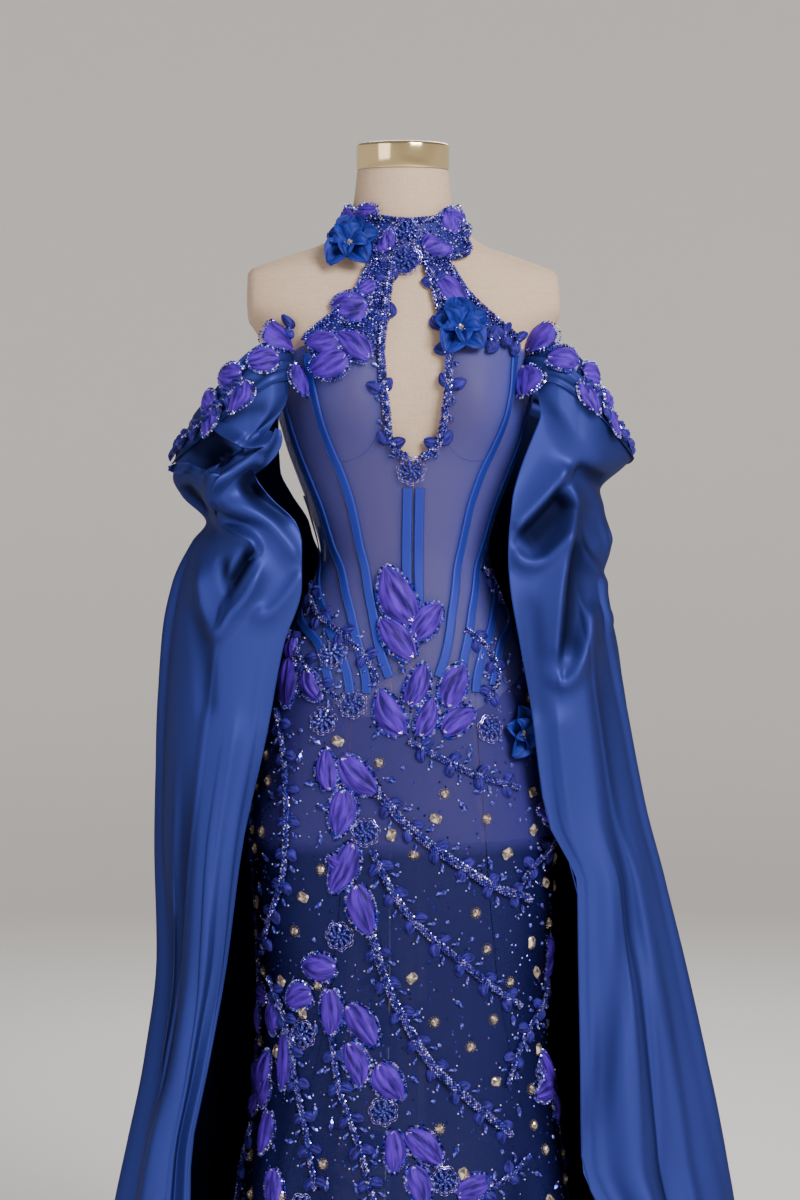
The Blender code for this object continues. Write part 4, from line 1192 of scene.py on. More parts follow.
capePlans = {
    "L": SmoothTable(
        "height frontX frontY outerX outerY backX backY",
        (4, 325, -150, 385, 30, 75, 345), (254, 279, -120, 350, 20, 62, 245),
        (337, 277, -112, 333, 15, 58, 222),
        (441, 257, -106, 312, 10, 55, 205), (565, 234, -100, 298, 8, 52, 192),
        (721, 213, -98, 303, 6, 50, 182), (851, 184, -100, 302, 4, 52, 172),
        (966, 163, -108, 297, 2, 60, 155), (1040, 141, -112, 287, 0, 80, 132),
        (1092, 141, -112, 266, 0, 105, 120), (1115, 147, -110, 250, 0, 112, 114),
        (1149, 180, -108, 281, 0, 134, 111), (1181, 200, -106, 296, 0, 149, 110),
        (1260, 165, -104, 284, 0, 152, 108),
        unit=1000,
    ),
    "R": SmoothTable(
        "height frontX frontY outerX outerY backX backY",
        (4, 300, -150, 430, 30, 75, 345), (254, 236, -120, 396, 20, 62, 245),
        (318, 209, -112, 388, 15, 58, 225),
        (465, 208, -106, 363, 10, 55, 202), (563, 207, -100, 344, 8, 52, 192),
        (660, 206, -98, 322, 6, 50, 184), (750, 167, -96, 303, 5, 50, 180),
        (889, 147, -102, 277, 2, 55, 168), (965, 132, -110, 264, 0, 62, 154),
        (1041, 119, -112, 252, 0, 82, 132), (1081, 117, -112, 263, 0, 100, 122),
        (1143, 122, -110, 249, 0, 136, 111), (1171, 129, -108, 255, 0, 146, 108),
        (1250, 160, -104, 284, 0, 152, 104),
        unit=1000,
    ),
}
capeSpread = SmoothTable("part height", (0.0, 1.285), (0.3, 1.205), (0.7, 1.2), (1.0, 1.24))
capeLook = {
    "topFrom": 0.1,
    "topTo": 0.93,
    "behind": 0.0014,
    "thick": 0.0011,
    "dents": 0.15,
    "softened": 3,               # how often the creases are evened out
    # hollowShade: the depth of a hollow at which its painted shade is full
    "hollowShade": 0.016,             # the depth at which a hollow is quite dark
    # shares of the width and of the drop, with the number of steps up to each
    "columns": ((0.0, 0), (0.44, 96), (1.0, 68)),
    "rows": ((0.0, 0), (0.34, 110), (1.0, 42)),
}

# The next three tables hold thousandths of the plan's length, and millimetres.
# folds that hang down the cape: place along its plan, half width, depth inward, start height
capeFolds = {
    "L": (
        (100, 70, 12, 950), (270, 90, -20, 900), (420, 70, 22, 800),
        (550, 80, -24, 900), (700, 70, 24, 800), (840, 70, -20, 700),
    ),
    "R": (
        (130, 70, -14, 750), (250, 80, 22, 920), (400, 80, -22, 850),
        (540, 80, 20, 900), (680, 70, -24, 800), (830, 70, 22, 700),
    ),
}
# broad dents under the band: place, height, half sizes, depth inward, slope
capeDents = {
    "L": (
        (300, 1168, 160, 45, 30, -100), (200, 1112, 300, 26, 20, 100),
        (160, 1052, 220, 40, -14, 50), (340, 960, 120, 90, 16, 0),
        (720, 1080, 240, 50, 18, 80),
    ),
    "R": (
        (300, 1180, 120, 45, 26, -80), (160, 1085, 260, 40, 24, 120),
        (140, 1010, 200, 45, -14, 50), (380, 985, 100, 120, 18, 0),
        (720, 1070, 240, 50, 18, 80),
    ),
}
# finer folds with one steep and one soft flank: place along the plan at the top and at the hem,
# heights from and to, half widths of the flanks, height outward
capeRidges = {
    "L": (
        (50, 30, 1020, 0, 12, 35, 8), (170, 150, 900, 0, 30, 14, 10),
        (240, 330, 1080, 300, 14, 40, 12), (360, 380, 850, 0, 34, 16, 11),
        (470, 490, 1150, 50, 24, 46, 13), (600, 620, 1160, 0, 44, 24, 14),
        (680, 760, 1120, 0, 24, 42, 13), (810, 880, 1100, 0, 40, 24, 12),
        (920, 950, 800, 0, 22, 36, 8),
    ),
    "R": (
        (60, 40, 900, 0, 14, 36, 9), (180, 160, 760, 0, 32, 14, 10),
        (270, 310, 1120, 100, 14, 40, 14), (390, 440, 1160, 0, 34, 18, 12),
        (500, 550, 1100, 0, 24, 44, 13), (610, 660, 1150, 0, 42, 24, 13),
        (730, 790, 1100, 0, 24, 40, 13), (840, 890, 1120, 0, 38, 24, 12),
        (930, 960, 850, 0, 22, 34, 8),
    ),
}
# creases of the twisted cloth under each band, as lines over the photo: stops, height outward
# in metres, the widths in pixels of the flanks to the left and right of the line's run, and
# for a hollow how much more painted shade it gets than its depth gives it
capeCreases = {
    "L": (
        ((198, 424, 210, 446, 222, 468), -0.028, 26, 24, 2.2),
        ((216, 424, 240, 413, 270, 406), -0.011, 11, 12),
        ((203, 424, 222, 438, 244, 449, 260, 447, 282, 432), 0.016, 15, 7),
        ((279, 442, 266, 455, 247, 465, 229, 475, 216, 484, 212, 496, 218, 512), 0.015, 20, 10),
        ((276, 456, 260, 472, 249, 484, 266, 496), -0.02, 15, 14, 1.8),
        ((166, 468, 186, 461, 204, 468, 224, 474), 0.017, 5, 22),
        ((182, 484, 194, 500, 206, 518), -0.014, 15, 14, 1.2),
        ((216, 506, 240, 507, 266, 519, 286, 540, 303, 564), 0.013, 16, 20),
        ((248, 488, 266, 503, 292, 521), -0.009, 10, 12),
        ((216, 514, 228, 529, 242, 536, 253, 542, 254, 549, 246, 557), 0.011, 12, 7),
        ((257, 548, 246, 563, 231, 588), -0.016, 8, 12, 1.8),
        ((203, 556, 203, 582, 208, 614, 219, 632, 233, 612, 248, 594, 266, 558), 0.014, 16, 15),
        ((224, 556, 225, 580, 231, 600), -0.009, 9, 9),
        ((304, 566, 290, 590, 270, 611, 250, 610), 0.009, 22, 13),
        ((198, 603, 206, 650, 210, 720), -0.005, 15, 15),
        ((240, 700, 226, 790, 212, 900, 200, 1000), 0.008, 28, 20),
        ((188, 770, 181, 880, 173, 1000, 160, 1120), -0.006, 18, 18),
        ((262, 740, 248, 820, 232, 920, 216, 1030), -0.006, 14, 16),
    ),
    "R": (
        ((574, 462, 558, 484, 540, 505, 511, 534), 0.015, 9, 32),
        ((563, 490, 549, 508, 532, 526, 518, 540), -0.022, 42, 7),
        ((509, 540, 520, 559, 538, 563, 557, 549, 570, 530, 576, 511, 573, 494, 563, 476),
         0.015, 13, 15),
        ((574, 467, 590, 474, 608, 481), -0.014, 9, 9),
        ((580, 478, 596, 500, 608, 530, 611, 552), 0.009, 12, 14),
        ((574, 524, 587, 553, 602, 583, 612, 640), 0.012, 7, 18),
        ((580, 528, 573, 585, 569, 630, 564, 664), -0.016, 26, 7),
        ((574, 520, 564, 580, 560, 620, 556, 668), 0.013, 6, 24),
        ((591, 600, 588, 640, 578, 672, 563, 684, 556, 668), 0.012, 16, 10),
        ((529, 590, 533, 650, 541, 730), -0.005, 18, 18),
        ((556, 700, 566, 790, 580, 880), 0.008, 26, 18),
        ((600, 650, 612, 760, 626, 880, 640, 980), -0.006, 18, 20),
        ((634, 900, 622, 980, 608, 1060, 594, 1130, 580, 1160), -0.006, 20, 20),
        ((650, 960, 658, 1060, 664, 1200), 0.006, 20, 16),
    ),
}


def capePlan(side, part, height):
    # the cape's outline in plan: a smooth line through five places
    fx, fy, ox, oy, bx, by = (capePlans[side].at(height, name) for name in capePlans[side].columns[1:])
    stops = [(fx, fy), (mix(fx, ox, 0.62), fy * 0.92), (ox, oy), (mix(ox, bx, 0.42), by * 0.86), (bx, by)]
    stops = [np.stack(stop, axis=-1) for stop in stops]
    stops = np.stack([2 * stops[0] - stops[1], *stops, 2 * stops[-1] - stops[-2]])
    t = np.clip(part, 0, 1) * 4
    i = np.minimum(t.astype(int), 3)
    rows, columns = np.indices(part.shape)
    return curveAt((t - i)[..., None], *(stops[i + k, rows, columns] for k in range(4)))


def flank(distance, before, after):
    # a ridge with a flank of its own width on each side
    return bump(distance, np.where(distance < 0, before, after))


def crest(distance, before, after):
    # the same with a crisp top and hollow flanks, as taut satin folds
    near = np.hypot(distance / np.where(distance < 0, before, after), 0.06) - 0.06
    return np.clip(1 - near, 0, 1) ** 1.7


def creaseLift(spots, line, rise, before, after):
    # how high a crease stands at spots of the photo, dying out towards both its ends
    line = smoothLine(line, 26)
    best = np.full(spots.shape[:-1], 1e9)
    side = np.zeros_like(best)
    share = np.zeros_like(best)
    for i, (a, b) in enumerate(zip(line, line[1:])):
        step = b - a
        t = np.clip(((spots - a) @ step) / (step @ step), 0, 1)
        off = spots - a - t[..., None] * step
        far = np.hypot(off[..., 0], off[..., 1])
        nearer = far < best
        best = np.where(nearer, far, best)
        side = np.where(nearer, np.where(step[0] * off[..., 1] < step[1] * off[..., 0], -1, 1), side)
        share = np.where(nearer, (i + t) / 25, share)
    ends = smooth(share, 0, 0.16) * (1 - smooth(share, 0.84, 1))
    shape = crest if rise > 0 else flank
    return rise * shape(best * side, before, after) * (0.12 + 0.88 * ends)


def unevenSteps(stops):
    line = [0.0]
    for (low, none), (high, count) in zip(stops, stops[1:]):
        line += list(np.linspace(low, high, count + 1)[1:])
    return np.array(line)


def soften(grid, times):
    for step in range(times):
        wide = np.pad(grid, 1, mode="edge")
        grid = (wide[:-2, 1:-1] + wide[2:, 1:-1] + wide[1:-1, :-2] + wide[1:-1, 2:] + 4 * grid) / 8
    return grid


def capeSurface(side, sign):
    part, down = spread(unevenSteps(capeLook["columns"])[None, :], unevenSteps(capeLook["rows"])[:, None])
    bandPart = mix(capeLook["topFrom"], capeLook["topTo"], part)
    top = bandPoint(bandPart, -0.88, 1) - bandNormal(bandPart, -0.88, 1) * capeLook["behind"]
    height = mix(top[..., 2], cloth["hem"], down)
    here = capePlan(side, part, height)
    ahead = capePlan(side, part + 0.02, height) - capePlan(side, part - 0.02, height)
    away = unit(np.stack([ahead[..., 1], -ahead[..., 0]], axis=-1))
    push = np.zeros_like(part)
    for middle, halfWidth, depth, start in np.array(capeFolds[side]) / 1000:
        push += depth * bump(part - middle, halfWidth) * (1 - smooth(height, 0.15, start))
    for middle, level, halfWidth, halfHeight, depth, slope in np.array(capeDents[side]) / 1000:
        off = height - level - slope * (part - middle)
        push += capeLook["dents"] * depth * bump(part - middle, halfWidth) * bump(off, halfHeight)
    for topPlace, hemPlace, start, end, before, after, rise in np.array(capeRidges[side]) / 1000:
        middle = mix(hemPlace, topPlace, height / 1.2) + 0.012 * np.sin(height * 7 + topPlace * 20)
        fade = 1 - smooth(height, start - 0.16, start)
        if end:
            fade = fade * smooth(height, end - 0.01, end + 0.14)
        grow = mix(1.0, 0.65, smooth(height, 0.1, 1.0))
        calm = mix(0.22, 1.3, smooth(middle, 0.3, 0.52))
        push -= rise * flank(part - middle, before, after) * fade * grow * calm
    here = here - away * soften(push, 2)[..., None]
    level = np.stack([here[..., 0] * sign, here[..., 1], height], axis=-1)
    hung = np.stack([top[..., 0] * sign, top[..., 1], height], axis=-1)
    points = mix(hung, level, smooth(capeSpread.at(part, "height") - height, 0.0, 0.045)[..., None])
    # creases seen from the front lift the cloth along its own normal
    normal = gridNormals(points)
    outward = np.sum(normal[..., :2] * (points[..., :2] - [sign * 0.12, 0.05]), axis=-1)
    way = -1 if np.median(outward) < 0 else 1
    normal = normal * way
    lens = np.array([-math.sin(photo["turn"]), -math.cos(photo["turn"]), 0.0])
    faced = np.clip(normal @ lens, 0, 1)
    spots = toPhoto(points)
    frontShare = (1 - smooth(part, 0.42, 0.52)) * smooth(faced, 0.0, 0.22)
    lift = np.zeros_like(part)
    # painted shade: each hollow crease darkens the satin's colour with its depth, scaled by the crease's
    # shade value where it has one
    hollowShade = np.zeros_like(part)
    for line, rise, before, after, *shade in capeCreases[side]:
        crease = creaseLift(spots, line, rise, before, after)
        lift += crease
        hollowShade = np.maximum(hollowShade, -crease / capeLook["hollowShade"] * (shade[0] if shade else 1.0))
    lift = soften(lift * frontShare * smooth(down, 0.0, 0.05), capeLook["softened"])
    hollowShade = soften(np.clip(hollowShade * frontShare, 0, 1), capeLook["softened"])
    # a crease stands towards the lens where the cloth faces it, so it stays where the photo shows it
    points = points + unit(normal + lens * faced[..., None] * 2.5) * lift[..., None]
    return points, gridNormals(points) * way, hollowShade


def gridNormals(points):
    return unit(np.cross(np.gradient(points, axis=1), np.gradient(points, axis=0)))


# folds that stand free of the twisted left cape, as lines over the photo: stops along the lip,
# the width in pixels of the slope behind it, and the height
capeLips = (
    ((204, 421, 222, 436, 244, 448, 260, 448, 271, 443, 276, 433), 21, 0.013),
    ((276, 428, 270, 441, 258, 451, 239, 462, 222, 474, 213, 488, 212, 502, 220, 515),
     20, 0.013),
    ((214, 508, 224, 524, 238, 534, 250, 542, 255, 550, 249, 559), 20, 0.01),
    ((228, 476, 206, 469, 188, 462, 170, 466), 15, 0.01),
)
# across a lip: the share of its width behind its edge, and the share of its height
lipProfile = np.array([
    (1.0, -0.05), (0.9, 0.0), (0.8, 0.05), (0.65, 0.18), (0.5, 0.38), (0.35, 0.62), (0.22, 0.82),
    (0.11, 0.96),
    (0.04, 1.0), (0.0, 0.92), (-0.01, 0.78), (0.02, 0.6), (0.07, 0.42), (0.14, 0.26)])


def lipGrid(front, stops, width, lift):
    line = smoothLine(stops, 40)
    run = unit(np.gradient(line, axis=0))
    across = np.stack([run[:, 1], -run[:, 0]], axis=-1)
    fade = np.sin(np.pi * np.linspace(0.015, 0.985, 40))[:, None] ** 0.5
    back = lipProfile[:, 0] * width * (0.1 + 0.9 * fade)
    spots = line[:, None] + across[:, None] * back[..., None]
    # the depth of the cape behind each spot, from the corners of its cloth that lie nearest
    far = np.linalg.norm(spots.reshape(-1, 1, 2) - toPhoto(front), axis=-1)
    weight = np.exp(-(far / 2.2) ** 2) + 1e-12 / (1 + far**2)
    y = (weight @ front[:, 1] / weight.sum(axis=1)).reshape(back.shape)
    return atDepth(spots, y - lift * fade * lipProfile[:, 1])


def paintedShadeMarks(hollowShade):
    # painted shade on a cloth's two faces: in the outer one's hollows, and over the whole reverse, told from
    # it
    marks = np.zeros((2, hollowShade.size, 3))
    marks[:, :, 1] = hollowShade.ravel()
    marks[1, :, 0] = 1
    return marks


def capeLipShapes(points):
    shown = points[:, : int(points.shape[1] * 0.55)].reshape(-1, 3)
    pile = Pile()
    for stops, width, lift in capeLips:
        outer = lipGrid(shown, stops, width, lift)
        normal = gridNormals(outer)
        normal = normal * np.where(np.median(normal[..., 1]) < 0, 1, -1)
        # painted shade: the curled underside of each lip is darkened, and its reverse painted near black
        marks = paintedShadeMarks(np.tile(np.where(np.arange(len(lipProfile)) > 9, 0.8, 0.0), len(outer)))
        marks[1, :, 1] = 0
        pile.grid(outer, outer - normal * capeLook["thick"], marks.reshape(-1, 3))
    piece = pile.build("cape_folds_L", "satin")
    clothPiece(piece, None, (0.20, 0.10))


def capeShapes():
    for side, sign in twoSides:
        points, normal, hollowShade = capeSurface(side, sign)
        marks = paintedShadeMarks(hollowShade).reshape(-1, 3)
        piece = wallPiece(f"cape_sleeve_{side}", "satin", points + normal * capeLook["thick"], points, marks)
        clothPiece(piece, f"cape_{side}", (1.30, 1.22))
        if side == "L":
            capeLipShapes(points)
        middle = points + normal * 0.0005
        edge = Pile()
        for line in (middle[::2, 0], middle[::2, -1], middle[-1, ::2]):
            edge.tube(line, 0.0009, 5)
        rides(edge.build(f"cape_rolled_edge_{side}", "satin"))


capeShapes()
print("capes hung")


# petals, leaves and flowers

petalLook = {"round": 0.52, "pleats": 0.06, "gathers": 13.3}


def petalGrid(ground, u, v, heading, length, width, dome, rows=13, columns=19, lean=0.0):
    # a gathered petal sewn down round its edge: its rows run from the gathers to the tip
    s = np.linspace(0, 1, rows)[:, None]
    t = np.linspace(-1, 1, columns)[None, :]
    half = width / 2 * np.sin(np.pi * np.clip(s, 0.015, 0.985) ** 0.86) ** petalLook["round"] + 0.0005
    along = length * s
    across = half * t + lean * length * np.sin(np.pi * s)
    turn = math.radians(heading)
    du = along * math.cos(turn) - across * math.sin(turn)
    dv = along * math.sin(turn) + across * math.cos(turn)
    dish = np.sqrt(np.clip(1 - t**2, 0, 1))
    body = dish * np.sin(np.pi * np.clip(s, 0.03, 0.97)) ** 0.55
    twist = t + 0.5 * (s - 0.4) * np.sin(heading)
    pleats = np.cos(twist * petalLook["gathers"] + heading) * (1.15 - s) ** 0.5
    furrow = np.exp(-((twist + 0.25 * math.cos(heading * 3)) / 0.17) ** 2)
    rise = dome * (body + petalLook["pleats"] * pleats * dish * (body > 0.02) - 0.3 * furrow * body)
    outer = ground.at(u + du, v + dv, 0.0004 + np.maximum(rise, 0))
    marks = np.stack(spread(s, twist * 0.5 + 0.5, heading % 97), axis=-1)
    flat = np.stack([u + du, v + dv], axis=-1)
    return outer, marks, np.concatenate([flat[:, 0], flat[::-1, -1]])


roundBeads, petalBeads, ropeBeads, bugles = (Beads() for k in range(4))
crystals, emeralds, navettes, sequins = (Beads() for k in range(4))
beadLook = {
    "edge": 0.0035,
    "step": 0.0032,
    "bugle": (0.0062, 0.0016, 0.0016),
    "navette": (0.0115, 0.0056, 0.005),
}


def glassTints(count):
    # the mixed glass of the ropes and outlines
    mixed = np.array([tones[name] for name in ("silver", "lilac", "sky", "royal", "navy")])
    return mixed[chance.choice(5, count, p=(0.17, 0.28, 0.13, 0.24, 0.18))]


def beadRow(ground, edge, out):
    # a row of beads along a line on a ground
    run = runOf(edge)
    count = max(int(run[-1] / beadLook["step"]), 3)
    at = np.linspace(0, run[-1], count, endpoint=False) + chance.uniform(-0.0003, 0.0003, count)
    u, v = (np.interp(at, run, values) for values in edge.T)
    here, frames = frameOn(ground, u, v, chance.uniform(-0.9, 0.9, count), out)
    sizes = np.array([1.12, 0.94, 0.94]) * beadLook["edge"] * chance.uniform(0.85, 1.2, (count, 1))
    petalBeads.add(here, frames, sizes, glassTints(count))


def petal(pile, ground, heading, length, width, dome=0.0085, lean=0.05, start=0.0):
    # length and width in millimetres; start: how far along its heading its gathers lie from its ground
    length, width = length / 1000, width / 1000
    turn = math.radians(heading)
    u, v = start * math.cos(turn), start * math.sin(turn)
    outer, marks, edge = petalGrid(ground, u, v, heading, length, width, dome, lean=lean)
    pile.dome(outer, marks)
    beadRow(ground, edge, 0.0018)
    middle = edge.mean(axis=0)
    reach = np.maximum(np.linalg.norm(edge - middle, axis=1), 0.004)[:, None]
    beadRow(ground, middle + (edge - middle) * (1 + 0.0025 / reach), 0.001)
    # a few bugles tie the gathers down
    for off in (-0.5, 0.0, 0.5):
        spot = (u + 0.004 * math.cos(turn + off), v + 0.004 * math.sin(turn + off))
        bugles.add(*frameOn(ground, *spot, turn + off * 1.6, dome * 0.35), beadLook["bugle"], "silver")


def leafPair(pile, ground, heading, size=0.019, u=0.0):
    for turn in (-58, 58):
        outer, marks, edge = petalGrid(
            ground, u, 0, heading + turn, size, size * 0.74, 0.007, 7, 9, 0.06 * turn / 58)
        pile.dome(outer, marks)
        way = math.radians(heading + turn)
        bugles.add(*frameOn(ground, u + 0.004 * math.cos(way), 0.004 * math.sin(way), way, 0.004),
                   (0.006, 0.0014, 0.0014), "silver")


def rosette(ground, radius=0.018):
    # a dark cluster of crystals in a scalloped double outline of silver beads
    start = chance.uniform(0, 1)
    outline = np.array([tones[name] for name in ("lilac", "silver", "violet")])
    for size, count, level in ((1.0, 48, 0.0009), (0.85, 40, 0.0012)):
        turn = np.linspace(0, 2 * np.pi, count, endpoint=False)
        reach = radius * size * (0.84 + 0.17 * np.abs(np.sin(3.5 * turn + start)))
        bugles.add(*frameOn(ground, reach * np.cos(turn), reach * np.sin(turn), turn + np.pi / 2, level),
                   (0.0018, 0.0012, 0.0012), outline[np.arange(count) % 3])
    for reach, count, long, level in ((0.62, 9, 0.0086, 0.0006), (0.34, 7, 0.0078, 0.0022)):
        for k in range(count):
            turn = 2 * math.pi * (k + start) / count + reach
            spot = (radius * reach * math.cos(turn), radius * reach * math.sin(turn))
            navettes.add(*frameOn(ground, *spot, turn, level), (long, long * 0.7, 0.004),
                         ("royal", "deep")[(k + count) % 2])
    crystals.add(*frameOn(ground, 0.0, 0.0, out=0.0044), (0.0056, 0.0056, 0.0045), "royal")


class Path:
    # an evenly stepped line of (angle, height) on the cloth
    def __init__(self, angles, heights, base=netFace):
        self.rough = smoothLine(np.stack([angles, heights], axis=-1), 160)
        self.run = runOf(barePoint(*self.rough.T))
        self.length = float(self.run[-1])
        self.base = base

    def at(self, run):
        return tuple(np.interp(run, self.run, values) for values in self.rough.T)

    def frames(self, run, off=0.0, out=0.0, heading=0.0):
        # places beside the line, and frames turned from its run by the heading
        run, off, out, turn = (value[..., None] for value in spread(run, off, out, heading))
        place = self.at(run[..., 0])
        normal = bodyNormal(*place)
        after, before = (barePoint(*self.at(run[..., 0] + step)) for step in (0.002, -0.002))
        ahead = after - before
        ahead = unit(ahead - normal * np.sum(ahead * normal, axis=-1, keepdims=True))
        left = np.cross(normal, ahead)
        along = ahead * np.cos(turn) + left * np.sin(turn)
        return barePoint(*place) + left * off + normal * (self.base + out), framed(along, normal)

    def direction(self, run):
        # the heading of the line, as seen on the ground there
        angle, height = self.at(np.array([run - 0.002, run + 0.002]))
        ground = Skin(angle[0], height[0])
        return math.degrees(math.atan2(height[1] - height[0], (angle[1] - angle[0]) * ground.degree))


cords = Pile()


def vineBeads(path, thick):
    # a rope of glass beads wound round a cord, all but its underside
    steps = np.linspace(0.001, path.length - 0.001, max(int(path.length / 0.007), 4))
    cords.tube(path.frames(steps, out=thick * 0.4)[0], thick * 0.5, 5)
    pitch = thick * 3.0
    radius = thick * 0.56
    lean = math.atan2(2 * math.pi * radius, pitch)
    bead = 0.0026 + thick * 0.1
    strands = max(4, round(pitch * math.sin(lean) / (bead * 0.8)))
    step = bead * 1.06 * math.cos(lean)
    for strand in range(strands):
        run = np.arange(0.001, path.length - 0.001, step) + chance.uniform(0, step)
        around = 2 * np.pi * (run / pitch + strand / strands)
        shown = np.sin(around) > -0.2
        run, around = run[shown], around[shown][:, None]
        here, frames = path.frames(run, out=radius * 0.8)
        ahead, across, outward = (frames[..., k] for k in range(3))
        away = across * np.cos(around) + outward * np.sin(around)
        tangent = outward * np.cos(around) - across * np.sin(around)
        wound = framed(ahead * math.cos(lean) + tangent * math.sin(lean), away)
        sizes = np.array([1.15, 0.84, 0.84]) * bead * chance.uniform(0.85, 1.15, (len(run), 1))
        ropeBeads.add(here + radius * away, wound, sizes, glassTints(len(run)))


def vine(pile, angles, heights, leafStep, thick, room):
    # room: how far other motifs keep from the vine
    path = Path(angles, heights)
    vineBeads(path, thick)
    for k, run in enumerate(np.arange(0.02, path.length - 0.01, leafStep)):
        leafPair(pile, Skin(*path.at(run)), path.direction(run), 0.018)
        half = run + leafStep / 2
        if half < path.length - 0.005:
            for edge in (-1, 1):
                navettes.add(*path.frames(half, edge * (thick + 0.006), 0.0006, 0.9 * edge),
                             beadLook["navette"], "royal" if k % 2 else "sky")
                roundBeads.add(*path.frames(half, edge * (thick + 0.0135), 0.0006), 0.003, "silver")
    for run in np.arange(0, path.length, 0.02):
        take(*path.at(run), room)


def chiffonFlower(name, ground, radius):
    # five pointed petals, each folded along its middle, over five smaller ones
    pile = Pile()
    middle, frame = frameOn(ground, 0.0, 0.0)
    s = np.linspace(0.03, 1, 16)[:, None]
    t = np.linspace(-1, 1, 15)[None, :]
    for layer, (reach, cup, wide) in enumerate(((1.0, 0.2, 0.46), (0.66, 0.55, 0.4))):
        for k in range(5):
            turn = 2 * math.pi * (k + 0.5 * layer) / 5 + 0.35
            long = radius * reach * (1.0 + 0.12 * math.sin(k * 2.3))
            half = long * wide * np.sin(np.pi * np.clip(s, 0.02, 0.985) ** 0.95) ** 0.62 + 0.0004
            x = long * s
            y = half * t + 0.12 * math.sin(k * 1.9 + 1) * s**2 * long
            rise = cup * np.sin(np.pi * s * 0.75) + 0.2 * np.abs(t) ** 1.4 * np.sin(np.pi * s) ** 0.7
            rise = rise + 0.05 * np.sin(5 * s + 3 * t + k) + 0.03 * np.cos(9 * t + 2 * s + k) * (1.1 - s)
            furrow = 0.1 * np.exp(-((t - 0.2 * np.sin(k)) / 0.16) ** 2) * np.sin(np.pi * s)
            z = long * (rise - furrow) + 0.0022 + 0.002 * layer
            cos = math.cos(turn)
            sin = math.sin(turn)
            local = np.stack([x * cos - y * sin, x * sin + y * cos, z], axis=-1)
            back = local - [0, 0, cloth["chiffon"]]
            marks = np.stack(spread(s, t * 0.5 + 0.5, k + 5 * layer), axis=-1).reshape(-1, 3)
            pile.grid(middle + local @ frame.T, middle + back @ frame.T, np.concatenate([marks, marks]))
    clothPiece(pile.build(name + "_chiffon", "flower"), name,
               (round(radius * 4.6, 3), round(radius * 2.0, 3)))
    crystals.add(middle + frame[:, 2] * 0.008, frame, (0.0085, 0.0085, 0.007), "clear")
    turn = np.linspace(0, 2 * np.pi, 9, endpoint=False)
    ring = np.stack([0.0062 * np.cos(turn), 0.0062 * np.sin(turn), np.full(9, 0.0095)], axis=-1)
    roundBeads.add(middle + ring @ frame.T, frame, 0.0026, "silver")
    take(ground.angle, ground.height, radius)


# sprays of petals: the centre in the photo, the flat cut, and for each petal its place from
# the centre in pixels, its heading in degrees, its length and width in millimetres, and its lean
sprays = {
    "spray_waist": (410, 640, 0.15, 0.12, (
        (3, -17, 122, 80, 45, 0.03), (3, 18, 134, 64, 33, -0.03),
        (4, -2, 47, 54, 33, 0.05))),
    "spray_basque": (423, 704, 0.22, 0.11, (
        (-21, 31, 118, 61, 34, 0.05), (-15, 1, 67, 54, 28, -0.04),
        (24, 4, 65, 58, 34, 0.05), (-3, 33, 71, 49, 26, -0.03),
        (19, 29, 31, 50, 30, 0.05))),
    "spray_bust": (338, 352, 0.13, 0.09, (
        (3, -9, 182, 42, 28, 0.04), (31, 9, 134, 42, 32, -0.04),
        (10, 6, 200, 50, 34, 0.05))),
    "spray_hip": (300, 664, 0.12, 0.08, (
        (-8, -7, -74, 62, 32, 0.04), (8, 6, -54, 44, 22, -0.04),
        (-6, -4, 100, 30, 24, 0.04))),
    "spray_thigh": (343, 790, 0.13, 0.1, (
        (-11, 0, 101, 51, 27, 0.05), (0, -33, -47, 60, 33, -0.04),
        (2, -1, -94, 55, 33, 0.04))),
    "spray_knee": (352, 888, 0.13, 0.08, (
        (3, -45, -116, 66, 31, 0.04),
        (5, -4, -76, 62, 32, -0.04))),
    "spray_calf": (338, 990, 0.13, 0.11, (
        (0, -26, 184, 46, 34, 0.05), (-23, 1, 200, 42, 32, -0.05),
        (-6, -3, -90, 56, 28, 0.04),
        (10, 14, -54, 58, 32, 0.04))),
    "spray_shin": (374, 1062, 0.12, 0.08, (
        (-24, -21, -72, 54, 28, 0.04),
        (5, 1, -57, 50, 34, -0.05))),
}
# bead vines: thickness, and stops of the stem in the photo
vines = {
    "vine_upper": (0.0085, 378, 792, 409, 828, 440, 853, 467, 872, 494, 889, 527, 901),
    "vine_middle": (0.0066, 373, 849, 388, 883, 405, 910, 432, 939, 486, 985, 517, 1008),
    "vine_lower": (0.008, 373, 934, 388, 985, 409, 1028, 432, 1066, 467, 1101, 509, 1139),
    "vine_side": (0.0064, 282, 707, 287, 747, 290, 793, 290, 830, 286, 878, 273, 920, 268, 950),
}
